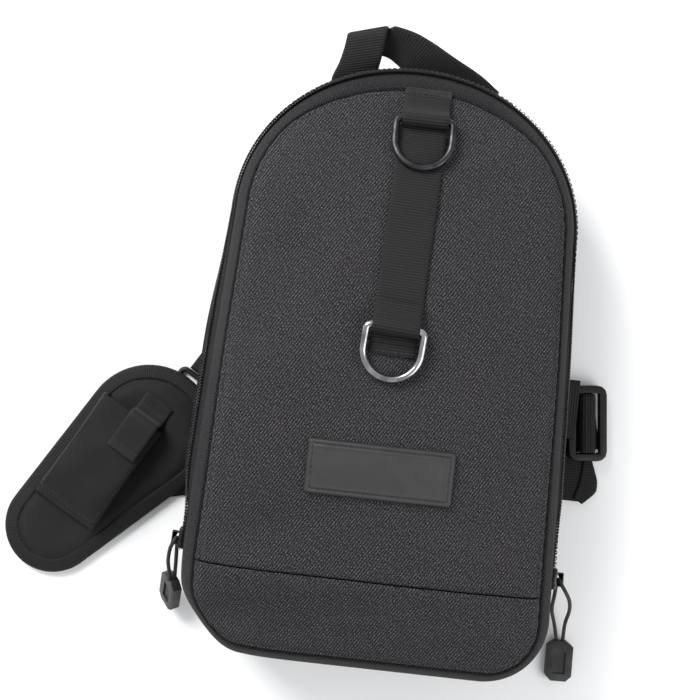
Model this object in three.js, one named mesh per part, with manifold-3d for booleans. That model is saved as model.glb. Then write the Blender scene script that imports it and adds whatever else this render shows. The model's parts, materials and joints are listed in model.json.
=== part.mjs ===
// Fishing tackle sling bag, lying flat on its back. Millimetres, +Z up, +Y towards the carry handle.
// The origin is on the ground under the flat back, bottomReach above the lower end.
import * as THREE from 'three';
import { mergeVertices } from 'three/addons/utils/BufferGeometryUtils.js';
import Module from 'manifold-3d';

const wasm = await Module();
wasm.setup();

// Case, seen from the front
const bagLength = 367;
const bottomReach = 178.5;
const shoulderHalfWidth = 104;
const bottomHalfWidth = 116.5;
const topArchRise = 94;
const topArchPower = 2.05;
const bottomCornerRadius = 42;
const bottomY = -bottomReach;
const topY = bagLength - bottomReach;
const shoulderY = topY - topArchRise;

// Case, seen from the side
const bagDepth = 104;
const zipHeight = 48;
const frontRound = 78;
const rearRound = 26;
const clothWall = 2.2;
const backPadding = 8;
const lowerSeamY = -119;
const gap = 0.3;

// Webbing, rings and patch on the front
const webbingWidth = 28.5;
const webbingThickness = 1.6;
const webbingTopY = topY - 12;
const webbingTopX = 5.4;
const webbingEndY = 21;
const ringOuterWidth = 38.4;
const ringOuterLength = 34.5;
const ringWire = 4.4;
const ringCorner = 3.2;
const keeperBore = 5.4;
const upperRingY = webbingTopY - 20.5;
const lowerRingY = 30.5;
const lowerRingTurn = THREE.MathUtils.degToRad(-3.5);
const patchWidth = 86.5;
const patchHeight = 32.5;
const patchThickness = 2.4;
const patchY = -54;

// Zip
const tapeWidth = 15;
const tapeThickness = 0.8;
const chainWidth = 5.5;
const chainThickness = 1.6;
const sliderLength = 13;
const sliderWidth = 9;
const sliderThickness = 4.6;
const sliderY = -112;
const pullCord = 2.4;
const pullWidth = 17;
const pullLength = 26;
const pullThickness = 6;
const pullCorner = 3.5;

// Straps
const strapWidth = 38;
const strapThickness = 2;
const adjusterWidth = 25;
const adjusterHeight = 49;
const adjusterThickness = 8;
const adjusterRim = 5;
const adjusterX = 133;
const adjusterY = -15.5;
const adjusterTurn = THREE.MathUtils.degToRad(6.3);
const adjusterBar = 4;
const wrapWidth = 11;
const padRingX = -115.5;
const padRingY = -25;
const padRingTurn = THREE.MathUtils.degToRad(59);
const padRingWidth = 48;
const padRingDepth = 16;
const padRingWire = 3.6;
const tailDrop = 31;
const tailThickness = 4;
const tailInner = 16;
const tailOuter = 17;
const tailTip = 22;
const tailTipRise = 15;
const tailCover = 4;
const strapLowerStart = 41.8;

// Shoulder pad: a tapered round-ended pad between a wide and a narrow end circle
const padWideX = -149.5;
const padWideY = -51.7;
const padWideRadius = 43;
const padNarrowRadius = 31;
const padSpan = 87.5;
const padTurn = THREE.MathUtils.degToRad(50.6);
const padThickness = 9;
const padRimThickness = 6;
const bindingThickness = 1.4;

// Pocket on the pad, measured from the wide end circle's centre
const pocketLength = 78;
const pocketWidth = 45;
const pocketHeight = 14;
const pocketWall = 1.6;
const pocketAlong = -35.5;
const pocketAcross = 7.8;
const pocketTurn = THREE.MathUtils.degToRad(9.7);
const flapWidth = 20;
const flapDrop = 20;
const flapSeat = 15;
const flapAcross = -9;
const flapThickness = 2;

// Carry handle
const handleWidth = 28;
const handleThickness = 2.4;

// Shares of the bag's height along its length: lower end, belly, then the thinner top
const crestRows = [
  { along: 0, height: 0.87 },
  { along: 0.117, height: 0.94 },
  { along: 0.34, height: 1 },
  { along: 0.584, height: 0.965 },
  { along: 0.778, height: 0.85 },
  { along: 0.895, height: 0.74 },
  { along: 1, height: 0.64 },
];

// Front face: how far in from the outline, as a share of frontRound, and how far up from the zip
const frontRows = [
  { inset: 0, rise: 0 },
  { inset: 0, rise: 0.2 },
  { inset: 0.035, rise: 0.46 },
  { inset: 0.1, rise: 0.7 },
  { inset: 0.21, rise: 0.86 },
  { inset: 0.4, rise: 0.945 },
  { inset: 0.68, rise: 0.985 },
  { inset: 1, rise: 1 },
];

// Rear edge: share of rearRound in from the outline, and share of zipHeight above the ground
const rearRows = [
  { inset: 1, height: 0 },
  { inset: 0.6, height: 0.05 },
  { inset: 0.32, height: 0.16 },
  { inset: 0.12, height: 0.36 },
  { inset: 0.02, height: 0.64 },
  { inset: 0, height: 0.8 },
];

// Soft dents of the front face: place and reach as shares of the bag's half width and length
const dentRows = [
  { x: -0.6, y: 0.12, reach: 0.13, depth: 0.028 },
  { x: 0.62, y: -0.14, reach: 0.12, depth: 0.03 },
  { x: -0.55, y: -0.26, reach: 0.1, depth: 0.022 },
  { x: 0.55, y: 0.27, reach: 0.1, depth: 0.022 },
];

// Centre line of the handle: x and z as shares of its span and drop, y above the bag's top
const handleSpan = 78;
const handleRise = 27;
const handleHeight = 38;
const handleRows = [
  { x: -0.51, y: -0.45, z: 0.86, tilt: 0 },
  { x: -0.51, y: -0.03, z: 0.9, tilt: 4 },
  { x: -0.5, y: 0.35, z: 0.95, tilt: 24 },
  { x: -0.37, y: 0.75, z: 1, tilt: 50 },
  { x: -0.15, y: 0.85, z: 1.04, tilt: 54 },
  { x: 0.1, y: 0.69, z: 1.04, tilt: 50 },
  { x: 0.35, y: 0.31, z: 1, tilt: 38 },
  { x: 0.52, y: -0.17, z: 0.92, tilt: 20 },
  { x: 0.62, y: -0.6, z: 0.86, tilt: 10 },
];

// Chosen routes of the two zip cords, each from the pull up to the slider and back.
// X counts outwards from the seat of the slider.
const cordRouteRight = [
  [14.74, -158.6, 3.2],
  [11.14, -147, 9],
  [6.64, -136, 21],
  [4.74, -124, 36],
  [4.24, -115.5, 43],
  [4.24, -112.2, 48],
  [4.94, -113.6, 53],
  [7.94, -118, 53.4],
  [12.64, -124.5, 44],
  [16.74, -134, 27],
  [17.94, -147, 9],
  [18.74, -158.6, 3.2],
];
const cordRouteLeft = [
  [5.54, -143.4, 22],
  [4.74, -135, 30.6],
  [4.24, -124, 38.6],
  [4.24, -115.5, 43.4],
  [4.24, -112.2, 48],
  [4.94, -113.6, 52.6],
  [6.74, -118, 52],
  [8.34, -127, 44],
  [8.34, -135, 34],
  [7.94, -143.4, 24.4],
];
const cordSides = 8;
const cordSteps = 34;

const vector = (x, y, z) => new THREE.Vector3(x, y, z);

// Looks

function material(color, roughness, metalness = 0) {
  return new THREE.MeshStandardMaterial({ color, roughness, metalness });
}

const looks = {
  cloth: () => material(0x302e31, 0.9),
  webbing: () => material(0x2a2b2c, 0.85),
  padCloth: () => material(0x232324, 0.8),
  zip: () => material(0x17181a, 0.5),
  plastic: () => material(0x3c3c3e, 0.45),
  metal: () => material(0x77797c, 0.3, 0.9),
  rubber: () => material(0x4a4a4b, 0.7),
  cord: () => material(0x35332f, 0.8),
};

// Solids

function geometryOf(positions, faces) {
  const geometry = new THREE.BufferGeometry();
  geometry.setAttribute('position', new THREE.Float32BufferAttribute(positions, 3));
  geometry.setIndex(faces);
  return geometry;
}

function solidOf(geometry) {
  const plain = geometry.clone();
  plain.deleteAttribute('normal');
  plain.deleteAttribute('uv');
  const merged = mergeVertices(plain, 1e-4);
  const solid = new wasm.Manifold(new wasm.Mesh({
    numProp: 3,
    vertProperties: new Float32Array(merged.attributes.position.array),
    triVerts: new Uint32Array(merged.index.array),
  }));
  return solid;
}

function geometryOfSolid(solid) {
  const mesh = solid.getMesh();
  return geometryOf(Array.from(mesh.vertProperties), Array.from(mesh.triVerts));
}

function signedVolume(positions, faces) {
  const a = vector();
  const b = vector();
  const c = vector();
  let sum = 0;
  for (let i = 0; i < faces.length; i += 3) {
    a.fromArray(positions, faces[i] * 3);
    b.fromArray(positions, faces[i + 1] * 3);
    c.fromArray(positions, faces[i + 2] * 3);
    sum += a.dot(b.cross(c));
  }
  return sum;
}

// Joins rings of equal point counts into one closed body, with end caps or as a closed loop.
// A mirrored ring, which starts at its middle, can be capped by rungs across instead of a fan.
function loft(rings, closed = false, rungs = false) {
  const count = rings[0].length;
  const positions = [];
  const faces = [];
  for (const ring of rings) {
    for (const point of ring) {
      positions.push(point.x, point.y, point.z);
    }
  }
  const joins = closed ? rings.length : rings.length - 1;
  for (let r = 0; r < joins; r += 1) {
    const low = r * count;
    const high = ((r + 1) % rings.length) * count;
    for (let i = 0; i < count; i += 1) {
      const next = (i + 1) % count;
      faces.push(low + i, low + next, high + next);
      faces.push(low + i, high + next, high + i);
    }
  }
  if (!closed) {
    addCap(positions, faces, rings[0], 0, true);
    const last = (rings.length - 1) * count;
    if (rungs) {
      addRungs(faces, count, last);
    } else {
      addCap(positions, faces, rings[rings.length - 1], last, false);
    }
  }
  if (signedVolume(positions, faces) < 0) {
    for (let i = 0; i < faces.length; i += 3) {
      [faces[i], faces[i + 1]] = [faces[i + 1], faces[i]];
    }
  }
  return solidOf(geometryOf(positions, faces));
}

function addCap(positions, faces, ring, first, turned) {
  const centre = vector(0, 0, 0);
  ring.forEach((point) => centre.addScaledVector(point, 1 / ring.length));
  const hub = positions.length / 3;
  positions.push(centre.x, centre.y, centre.z);
  for (let i = 0; i < ring.length; i += 1) {
    const next = (i + 1) % ring.length;
    if (turned) {
      faces.push(hub, first + next, first + i);
    } else {
      faces.push(hub, first + i, first + next);
    }
  }
}

function addRungs(faces, count, first) {
  const half = count / 2;
  for (let i = 0; i < half; i += 1) {
    const right = first + i;
    const rightNext = first + i + 1;
    const left = first + ((count - i) % count);
    const leftNext = first + ((count - i - 1) % count);
    if (right !== left) {
      faces.push(left, right, rightNext);
    }
    if (rightNext !== leftNext) {
      faces.push(left, rightNext, leftNext);
    }
  }
}

function box(x0, x1, y0, y1, z0, z1) {
  const ring = (z) => [vector(x0, y0, z), vector(x1, y0, z), vector(x1, y1, z), vector(x0, y1, z)];
  return loft([ring(z0), ring(z1)]);
}

// Extrudes a flat outline of [x, y] points between two heights.
function slab(points, z0, z1) {
  return loft([z0, z1].map((z) => points.map(([x, y]) => vector(x, y, z))));
}

function placed(solid, object) {
  object.updateMatrixWorld(true);
  return solid.transform(object.matrixWorld.toArray());
}

// Reads a table column by straight lines between its rows.
function along(rows, key, value, place) {
  const last = rows.length - 1;
  if (place <= rows[0][key]) {
    return rows[0][value];
  }
  for (let i = 0; i < last; i += 1) {
    const low = rows[i];
    const high = rows[i + 1];
    if (place <= high[key] && high[key] > low[key]) {
      const share = (place - low[key]) / (high[key] - low[key]);
      return THREE.MathUtils.lerp(low[value], high[value], share);
    }
  }
  return rows[last][value];
}

// Case outline and front face

function cornerRadiusAt(inset) {
  return Math.max(bottomCornerRadius - inset, 4);
}

function halfWidthAt(y, inset) {
  const low = bottomY + inset;
  const rise = topArchRise - inset;
  if (y <= low || y >= shoulderY + rise) {
    return 0;
  }
  if (y > shoulderY) {
    const share = (y - shoulderY) / rise;
    return (shoulderHalfWidth - inset) * (1 - share ** topArchPower) ** (1 / topArchPower);
  }
  const down = (shoulderY - y) / (shoulderY - bottomY);
  const straight = THREE.MathUtils.lerp(shoulderHalfWidth, bottomHalfWidth, down) - inset;
  const radius = cornerRadiusAt(inset);
  const below = low + radius - y;
  return below <= 0 ? straight : straight - radius + Math.sqrt(Math.max(radius ** 2 - below ** 2, 0));
}

const cornerSteps = 5;
const sideSteps = 8;
const archSteps = 11;

// Right half of the outline as [x, y] points from the bottom edge up to the top middle.
function rightHalf(inset) {
  const points = [];
  const radius = cornerRadiusAt(inset);
  const low = bottomY + inset;
  for (let i = 0; i <= cornerSteps; i += 1) {
    const y = low + radius * (1 - Math.cos((i / cornerSteps) * (Math.PI / 2)));
    points.push([halfWidthAt(Math.max(y, low + 1e-3), inset), y]);
  }
  const sideStart = low + radius;
  for (let i = 1; i <= sideSteps; i += 1) {
    const y = THREE.MathUtils.lerp(sideStart, shoulderY, i / sideSteps);
    points.push([halfWidthAt(y, inset), y]);
  }
  for (let i = 1; i < archSteps; i += 1) {
    const angle = (i / archSteps) * (Math.PI / 2);
    const y = shoulderY + (topArchRise - inset) * Math.sin(angle) ** (2 / topArchPower);
    points.push([halfWidthAt(y, inset), y]);
  }
  return points;
}

function outline(inset, zOf) {
  const right = rightHalf(inset);
  const left = right.map(([x, y]) => [-x, y]).reverse();
  const all = [[0, bottomY + inset], ...right, [0, topY - inset], ...left];
  return all.map(([x, y]) => vector(x, y, zOf(x, y)));
}

function dentDepth(x, y) {
  let depth = 0;
  for (const dent of dentRows) {
    const reach = dent.reach * bagLength;
    const dx = x - dent.x * bottomHalfWidth;
    const dy = y - dent.y * bagLength;
    depth += dent.depth * bagDepth * Math.exp(-(dx * dx + dy * dy) / (reach * reach * 0.4));
  }
  return depth;
}

function frontZ(x, y, rise) {
  const crest = bagDepth * along(crestRows, 'along', 'height', (y - bottomY) / bagLength);
  return zipHeight + (crest - zipHeight) * rise - dentDepth(x, y) * rise * rise;
}

// Distance in from the outline at a point of the front face, found by halving.
function insetAt(x, y) {
  let low = 0;
  let high = frontRound;
  for (let i = 0; i < 30; i += 1) {
    const middle = (low + high) / 2;
    if (halfWidthAt(y, middle) > Math.abs(x)) {
      low = middle;
    } else {
      high = middle;
    }
  }
  return (low + high) / 2;
}

function frontHeight(x, y) {
  return frontZ(x, y, along(frontRows, 'inset', 'rise', insetAt(x, y) / frontRound));
}

function frontBlock(inset, drop, base) {
  const rings = frontRows.map((row, index) => {
    const zOf = (x, y) => (index === 0 ? base : frontZ(x, y, row.rise) - drop);
    return outline(row.inset * frontRound + inset, zOf);
  });
  return loft(rings, false, true);
}

function rearBlock(inset, top, floor = 0) {
  const rows = rearRows.filter((row) => row.height * zipHeight >= floor);
  const rings = rows.map((row) => outline(row.inset * rearRound + inset, () => row.height * zipHeight));
  if (floor > 0) {
    const share = along(rearRows, 'height', 'inset', floor / zipHeight);
    rings.unshift(outline(share * rearRound + inset, () => floor));
  }
  rings.push(outline(inset, () => top));
  return loft(rings);
}

const sheetDepth = 3;

// A sheet that lies on the front face over a grid of rows and shares across.
function frontSheet(xAt, ys, xShares, thickness, base = gap) {
  const rings = ys.map((y) => {
    const over = xShares.map((share) => {
      const x = xAt(y, share);
      return vector(x, y, frontHeight(x, y) + base + thickness);
    });
    const under = over.map((point) => vector(point.x, point.y, point.z - thickness - sheetDepth)).reverse();
    return [...over, ...under];
  });
  return loft(rings).subtract(frontBlock(-base, -base, zipHeight - 1));
}

function range(low, high, steps) {
  return Array.from({ length: steps + 1 }, (_, i) => THREE.MathUtils.lerp(low, high, i / steps));
}

// A flat ribbon: rows of centre, wide direction and width.
function ribbon(rows, thickness) {
  const rings = rows.map((row, i) => {
    const before = rows[Math.max(i - 1, 0)].centre;
    const after = rows[Math.min(i + 1, rows.length - 1)].centre;
    const forward = after.clone().sub(before).normalize();
    const wide = row.wide.clone().addScaledVector(forward, -row.wide.dot(forward)).normalize();
    const up = forward.clone().cross(wide).normalize();
    const corner = (w, t) => row.centre.clone()
      .addScaledVector(wide, (w * row.width) / 2)
      .addScaledVector(up, (t * thickness) / 2);
    return [corner(-1, -1), corner(1, -1), corner(1, 1), corner(-1, 1)];
  });
  return loft(rings);
}

// A round bar along a line of points, open or closed on itself.
function wire(points, radius, sides, closed) {
  const rings = points.map((point, i) => {
    const count = points.length;
    const before = closed ? points[(i + count - 1) % count] : points[Math.max(i - 1, 0)];
    const after = closed ? points[(i + 1) % count] : points[Math.min(i + 1, count - 1)];
    const forward = after.clone().sub(before).normalize();
    const side = vector(0, 0, 1).cross(forward).normalize();
    const up = forward.clone().cross(side);
    return range(0, 2 * Math.PI, sides).slice(0, sides).map((angle) => point.clone()
      .addScaledVector(side, radius * Math.cos(angle))
      .addScaledVector(up, radius * Math.sin(angle)));
  });
  return loft(rings, closed);
}

// Pieces

const bag = new THREE.Group();

function add(name, solid, look) {
  const mesh = new THREE.Mesh(geometryOfSolid(solid), looks[look]());
  mesh.name = name;
  bag.add(mesh);
  return mesh;
}

// Straps that lie under the bag, and the same straps grown by the gap to press channels with
const strapUpperStart = padRingDepth / 2 + gap;
const strapUpperLength = 202;
const strapUpperAt = (distance) => vector(
  padRingX + distance * Math.cos(padRingTurn),
  padRingY + distance * Math.sin(padRingTurn),
  strapThickness / 2,
);
const strapUnderUpper = { from: strapUpperAt(strapUpperStart), to: strapUpperAt(strapUpperLength) };
const strapUnderLower = {
  from: vector(
    padWideX - strapLowerStart * Math.cos(padTurn),
    padWideY - strapLowerStart * Math.sin(padTurn),
    strapThickness / 2,
  ),
  to: vector(adjusterX - 4, adjusterY, strapThickness / 2),
};

function flatStrap(ends, grow = 0) {
  const forward = ends.to.clone().sub(ends.from).normalize();
  const wide = vector(-forward.y, forward.x, 0);
  const width = strapWidth + 2 * grow;
  const lift = vector(0, 0, grow / 2 - grow);
  const rows = [
    { centre: ends.from.clone().addScaledVector(forward, -grow).add(lift), wide, width },
    { centre: ends.to.clone().addScaledVector(forward, grow).add(lift), wide, width },
  ];
  return ribbon(rows, strapThickness + 3 * grow);
}

const caseGrown = rearBlock(-gap, zipHeight + 20);
const upperStrap = flatStrap(strapUnderUpper);
const lowerStrap = flatStrap(strapUnderLower).subtract(flatStrap(strapUnderUpper, gap));

// Plastic loop that joins the pad to the upper strap, flat on the ground
function padRingFrame(z) {
  const frame = new THREE.Matrix4().makeRotationZ(padRingTurn);
  return frame.setPosition(padRingX, padRingY, z);
}

function roundedRectangle(halfX, halfY, radius, steps) {
  const corners = [[1, 1, 0], [-1, 1, 1], [-1, -1, 2], [1, -1, 3]];
  return corners.flatMap(([sx, sy, quarter]) => range(0, Math.PI / 2, steps).map((angle) => vector(
    sx * (halfX - radius) + radius * Math.cos(angle + (quarter * Math.PI) / 2),
    sy * (halfY - radius) + radius * Math.sin(angle + (quarter * Math.PI) / 2),
    0,
  )));
}

const padRingHalf = [(padRingDepth - padRingWire) / 2, (padRingWidth - padRingWire) / 2];
const padRing = wire(roundedRectangle(...padRingHalf, 3, 3), padRingWire / 2, 8, true)
  .transform(padRingFrame(padRingWire / 2 + 0.1).toArray());
const padRingSpace = box(
  -padRingDepth / 2 - gap, padRingDepth / 2 + gap,
  -padRingWidth / 2 - gap, padRingWidth / 2 + gap,
  -1, padRingWire + 2 * gap,
).transform(padRingFrame(0).toArray());

// Case
const frontTray = frontBlock(0, 0, zipHeight + gap / 2)
  .subtract(frontBlock(clothWall, clothWall, zipHeight - 4));
const far = bagLength;
const frontPanel = frontTray.intersect(box(-far, far, lowerSeamY + gap / 2, far, 0, far));
const lowerPanel = frontTray.intersect(box(-far, far, -far, lowerSeamY - gap / 2, 0, far));
const rearShell = rearBlock(0, zipHeight - gap / 2)
  .subtract(rearBlock(clothWall, zipHeight + 4, backPadding))
  .subtract(flatStrap(strapUnderUpper, gap))
  .subtract(flatStrap(strapUnderLower, gap))
  .subtract(padRingSpace);
add('front_panel', frontPanel, 'cloth');
add('lower_panel', lowerPanel, 'cloth');
add('rear_shell', rearShell, 'cloth');

// Zip: a tape and a tooth chain that follow the outline from one lower end over the top to the other
function zipBand(inner, outer, halfWidth, endY) {
  const bandOf = (inset) => outline(inset, () => 0).filter((point) => point.y >= endY + 1e-6);
  const start = (inset) => halfWidthAt(endY, 0) - inset;
  const path = (inset) => {
    const points = bandOf(-inset).map((point) => [point.x, point.y]);
    const right = points.filter(([x]) => x > 0 || Math.abs(x) < 1e-6);
    const left = points.filter(([x]) => x < 0 && Math.abs(x) > 1e-6);
    return [[start(-inset), endY], ...right, ...left, [-start(-inset), endY]];
  };
  const near = path(inner);
  const away = path(outer);
  const low = zipHeight - halfWidth;
  const high = zipHeight + halfWidth;
  const rings = near.map(([x, y], i) => [
    vector(x, y, low),
    vector(away[i][0], away[i][1], low),
    vector(away[i][0], away[i][1], high),
    vector(x, y, high),
  ]);
  return loft(rings);
}

const tapeOut = gap + tapeThickness;
const chainIn = tapeOut + gap;
const chainOut = chainIn + chainThickness;
const sliderTop = sliderY + sliderLength / 2;
const sliderSeatX = halfWidthAt(sliderY, 0) + tapeOut + gap;
add('zip_tape', zipBand(gap, tapeOut, tapeWidth / 2, lowerSeamY), 'zip');
add('zip_chain', zipBand(chainIn, chainOut, chainWidth / 2, sliderTop + gap), 'zip');

// Slider: a flat wedge-nosed body on the tape with a bridge that the cord passes through
function slider(side) {
  const half = sliderLength / 2;
  const outlinePoints = [
    [-half, -sliderWidth * 0.32],
    [half * 0.4, -sliderWidth / 2],
    [half, -sliderWidth * 0.42],
    [half, sliderWidth * 0.42],
    [half * 0.4, sliderWidth / 2],
    [-half, sliderWidth * 0.32],
  ];
  const body = slab(outlinePoints, 0, sliderThickness * 0.6);
  const bridge = box(-half * 0.75, half * 0.6, -sliderWidth * 0.16, sliderWidth * 0.16, 1, sliderThickness + 2.6);
  const eye = box(-half * 0.46, half * 0.4, -sliderWidth, sliderWidth, sliderThickness * 0.6, sliderThickness + 1.3);
  const solid = body.add(bridge).subtract(eye);
  const wallLean = Math.atan((bottomHalfWidth - shoulderHalfWidth) / (shoulderY - bottomY));
  const outward = vector(Math.cos(wallLean), Math.sin(wallLean), 0);
  const upward = vector(0, 0, 1);
  const frame = new THREE.Matrix4().makeBasis(upward.clone().cross(outward), upward, outward);
  frame.setPosition(sliderSeatX, sliderY, zipHeight);
  const mirror = new THREE.Matrix4().makeScale(side, 1, 1);
  return solid.transform(mirror.multiply(frame).toArray());
}

function cordLoop(route, side, grow = 0) {
  const spots = route.map(([out, y, z]) => vector(side * (sliderSeatX + out), y, z));
  const curve = new THREE.CatmullRomCurve3(spots, false, 'centripetal');
  return wire(curve.getSpacedPoints(cordSteps), pullCord / 2 + grow, cordSides, false);
}

// Pull: a moulded tag with cut corners and a shallow window in its upper face
function pull(centre, forward, upward) {
  const w = pullWidth / 2;
  const l = pullLength / 2;
  const c = pullCorner;
  const body = slab([
    [-w + c, -l], [w - c, -l], [w, -l + c], [w, l - c], [w - c * 1.3, l], [-w + c * 1.3, l], [-w, l - c], [-w, -l + c],
  ], 0, pullThickness);
  const window = box(-w * 0.45, w * 0.45, -l * 0.62, l * 0.45, pullThickness - 1.2, pullThickness + 2);
  const axisY = forward.clone().normalize();
  const axisX = axisY.clone().cross(upward).normalize();
  const axisZ = axisX.clone().cross(axisY);
  const frame = new THREE.Matrix4().makeBasis(axisX, axisY, axisZ).setPosition(centre);
  return body.subtract(window).transform(frame.toArray());
}

const pullRightOut = 17.54;
const pullLeftOut = 5.54;
const pullRightY = -158 - gap - pullLength / 2;
const pulls = {
  right: pull(vector(sliderSeatX + pullRightOut, pullRightY, 0), vector(-0.03, 1, 0), vector(0, 0, 1)),
  left: pull(vector(-sliderSeatX - pullLeftOut, -149.9, 14.6), vector(0.1, 0.74, 0.67), vector(-0.75, -0.3, 0.45)),
};
for (const [name, side, route] of [['left', -1, cordRouteLeft], ['right', 1, cordRouteRight]]) {
  add(`zip_slider_${name}`, slider(side), 'plastic');
  add(`zip_cord_${name}`, cordLoop(route, side), 'cord');
  add(`zip_pull_${name}`, pulls[name].subtract(cordLoop(route, side, gap)), 'plastic');
}

// Front webbing, its two keepers and rings
const webbingX = (y) => webbingTopX * ((y - lowerRingY) / (webbingTopY - lowerRingY));
const webbingAt = (y, share) => webbingX(y) + share * webbingWidth;
const sheetShares = range(-0.5, 0.5, 4);
const webbingYs = range(webbingEndY, webbingTopY, 24);
add('front_webbing', frontSheet(webbingAt, webbingYs, sheetShares, webbingThickness), 'webbing');
const webbingGrown = frontSheet((y, share) => webbingAt(y, share * 1.1), webbingYs, sheetShares,
  webbingThickness + gap, 0);

const keeperLift = gap + webbingThickness + gap;
const keeperOuter = keeperBore / 2 + webbingThickness;

function slopeAt(x, y) {
  return Math.atan((frontHeight(x, y + 6) - frontHeight(x, y - 6)) / 12);
}

// Places the keeper and ring: local X along the bar, local Y up the bag, turned to the face
function ringHolder(y, turn) {
  const x = webbingX(y);
  const slope = slopeAt(x, y);
  const holder = new THREE.Object3D();
  holder.position.set(x, y, frontHeight(x, y) + (keeperLift + keeperOuter) / Math.cos(slope));
  holder.rotation.set(slope, 0, turn, 'ZYX');
  return holder;
}

function keeper() {
  const half = (webbingWidth - 0.6) / 2;
  const outer = new THREE.Shape();
  const r = keeperOuter;
  outer.moveTo(-r, -r);
  outer.lineTo(r * 3.4, -r);
  outer.lineTo(r * 3.4, -r + webbingThickness);
  outer.lineTo(r * 1.1, r * 0.55);
  outer.lineTo(r * 0.7, r * 0.9);
  outer.lineTo(0, r);
  outer.lineTo(-r * 0.7, r * 0.75);
  outer.lineTo(-r, r * 0.2);
  outer.closePath();
  const hole = new THREE.Path();
  hole.absarc(0, 0, keeperBore / 2, 0, 2 * Math.PI, true);
  outer.holes.push(hole);
  const block = new THREE.ExtrudeGeometry(outer, { depth: 2 * half, bevelEnabled: false, curveSegments: 8 });
  const across = new THREE.Matrix4().makeBasis(vector(0, 1, 0), vector(0, 0, 1), vector(1, 0, 0));
  across.setPosition(-half, 0, 0);
  block.applyMatrix4(across);
  return solidOf(block);
}

// D-ring: the bar on local X at the origin, the bow towards local -Y
function ringPoints() {
  const half = (ringOuterWidth - ringWire) / 2;
  const reach = ringOuterLength - ringWire;
  const straight = reach - half;
  const corner = (x, y, start) => range(start, start - Math.PI / 2, 3)
    .map((angle) => vector(x + ringCorner * Math.cos(angle), y + ringCorner * Math.sin(angle), 0));
  const bow = range(0, -Math.PI, 14).map((angle) => vector(half * Math.cos(angle), -straight + half * Math.sin(angle), 0));
  return [
    vector(-half / 3, 0, 0),
    vector(half / 3, 0, 0),
    ...corner(half - ringCorner, -ringCorner, Math.PI / 2),
    ...bow,
    ...corner(-half + ringCorner, -ringCorner, Math.PI),
  ];
}

// Height of whatever the ring can lie on: the front face, or the webbing where it runs
function restHeight(x, y) {
  const onWebbing = y > webbingEndY - 1 && Math.abs(x - webbingX(y)) < webbingWidth / 2 + ringWire / 2;
  return frontHeight(x, y) + (onWebbing ? webbingThickness + gap : 0);
}

// Lowers the bow about its bar until it lies on the bag, found by halving.
function ringTilt(holder) {
  const spots = ringPoints().filter((point) => point.y < -ringWire);
  const clears = (angle) => spots.every((spot) => {
    const x = holder.position.x + spot.x;
    const y = holder.position.y + spot.y * Math.cos(angle);
    const z = holder.position.z + spot.y * Math.sin(angle);
    return z > restHeight(x, y) + ringWire / 2 + 2 * gap;
  });
  let low = holder.rotation.x - 0.6;
  let high = holder.rotation.x + 0.6;
  for (let i = 0; i < 24; i += 1) {
    const middle = (low + high) / 2;
    if (clears(middle)) {
      low = middle;
    } else {
      high = middle;
    }
  }
  return low - holder.rotation.x;
}

for (const [name, y, turn] of [['upper', upperRingY, 0], ['lower', lowerRingY, lowerRingTurn]]) {
  const holder = ringHolder(y, turn);
  add(`ring_keeper_${name}`, placed(keeper(), holder).subtract(webbingGrown), 'webbing');
  const tilted = new THREE.Object3D();
  tilted.rotation.x = ringTilt(holder);
  holder.add(tilted);
  holder.updateWorldMatrix(true, true);
  const ring = wire(ringPoints(), ringWire / 2, 8, true);
  add(`d_ring_${name}`, ring.transform(tilted.matrixWorld.toArray()), 'metal');
}

// Rubber patch
add('rubber_patch', frontSheet((y, share) => share * patchWidth,
  range(patchY - patchHeight / 2, patchY + patchHeight / 2, 4), range(-0.5, 0.5, 8), patchThickness), 'rubber');

// Carry handle
function handle() {
  const spots = handleRows.map((row) => vector(row.x * handleSpan, topY + row.y * handleRise, row.z * handleHeight));
  const curve = new THREE.CatmullRomCurve3(spots, false, 'centripetal');
  const steps = 22;
  const rows = range(0, 1, steps).map((share) => {
    const centre = curve.getPoint(share);
    const forward = curve.getTangent(share);
    const row = share * (handleRows.length - 1);
    const low = Math.min(Math.floor(row), handleRows.length - 2);
    const tilt = THREE.MathUtils.degToRad(THREE.MathUtils.lerp(handleRows[low].tilt, handleRows[low + 1].tilt, row - low));
    const inPlane = vector(forward.y, -forward.x, 0).normalize();
    const wide = inPlane.multiplyScalar(Math.cos(tilt)).add(vector(0, 0, Math.sin(tilt)));
    return { centre, wide, width: handleWidth };
  });
  return ribbon(rows, handleThickness);
}

const wholeCaseGrown = rearBlock(-gap, zipHeight).add(frontBlock(-gap, -gap, zipHeight - 1));
const zipGrown = zipBand(-1, chainOut + gap, tapeWidth / 2 + gap, sliderTop);
add('carry_handle', handle().subtract(wholeCaseGrown).subtract(zipGrown), 'webbing');

// Straps under the bag
add('strap_upper', upperStrap, 'webbing');
add('strap_lower', lowerStrap, 'webbing');

// Shoulder pad
function padOutline(inset, z) {
  const wide = padWideRadius - inset;
  const narrow = padNarrowRadius - inset;
  const lean = Math.asin((padWideRadius - padNarrowRadius) / padSpan);
  const wideAngles = range(-Math.PI / 2 - lean, Math.PI / 2 + lean, 14);
  const narrowAngles = range(Math.PI / 2 + lean, (3 * Math.PI) / 2 - lean, 12);
  const turn = (angle) => padTurn + angle;
  const far = vector(padWideX - padSpan * Math.cos(padTurn), padWideY - padSpan * Math.sin(padTurn), z);
  return [
    ...wideAngles.map((a) => vector(padWideX + wide * Math.cos(turn(a)), padWideY + wide * Math.sin(turn(a)), z)),
    ...narrowAngles.map((a) => vector(far.x + narrow * Math.cos(turn(a)), far.y + narrow * Math.sin(turn(a)), z)),
  ];
}

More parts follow.
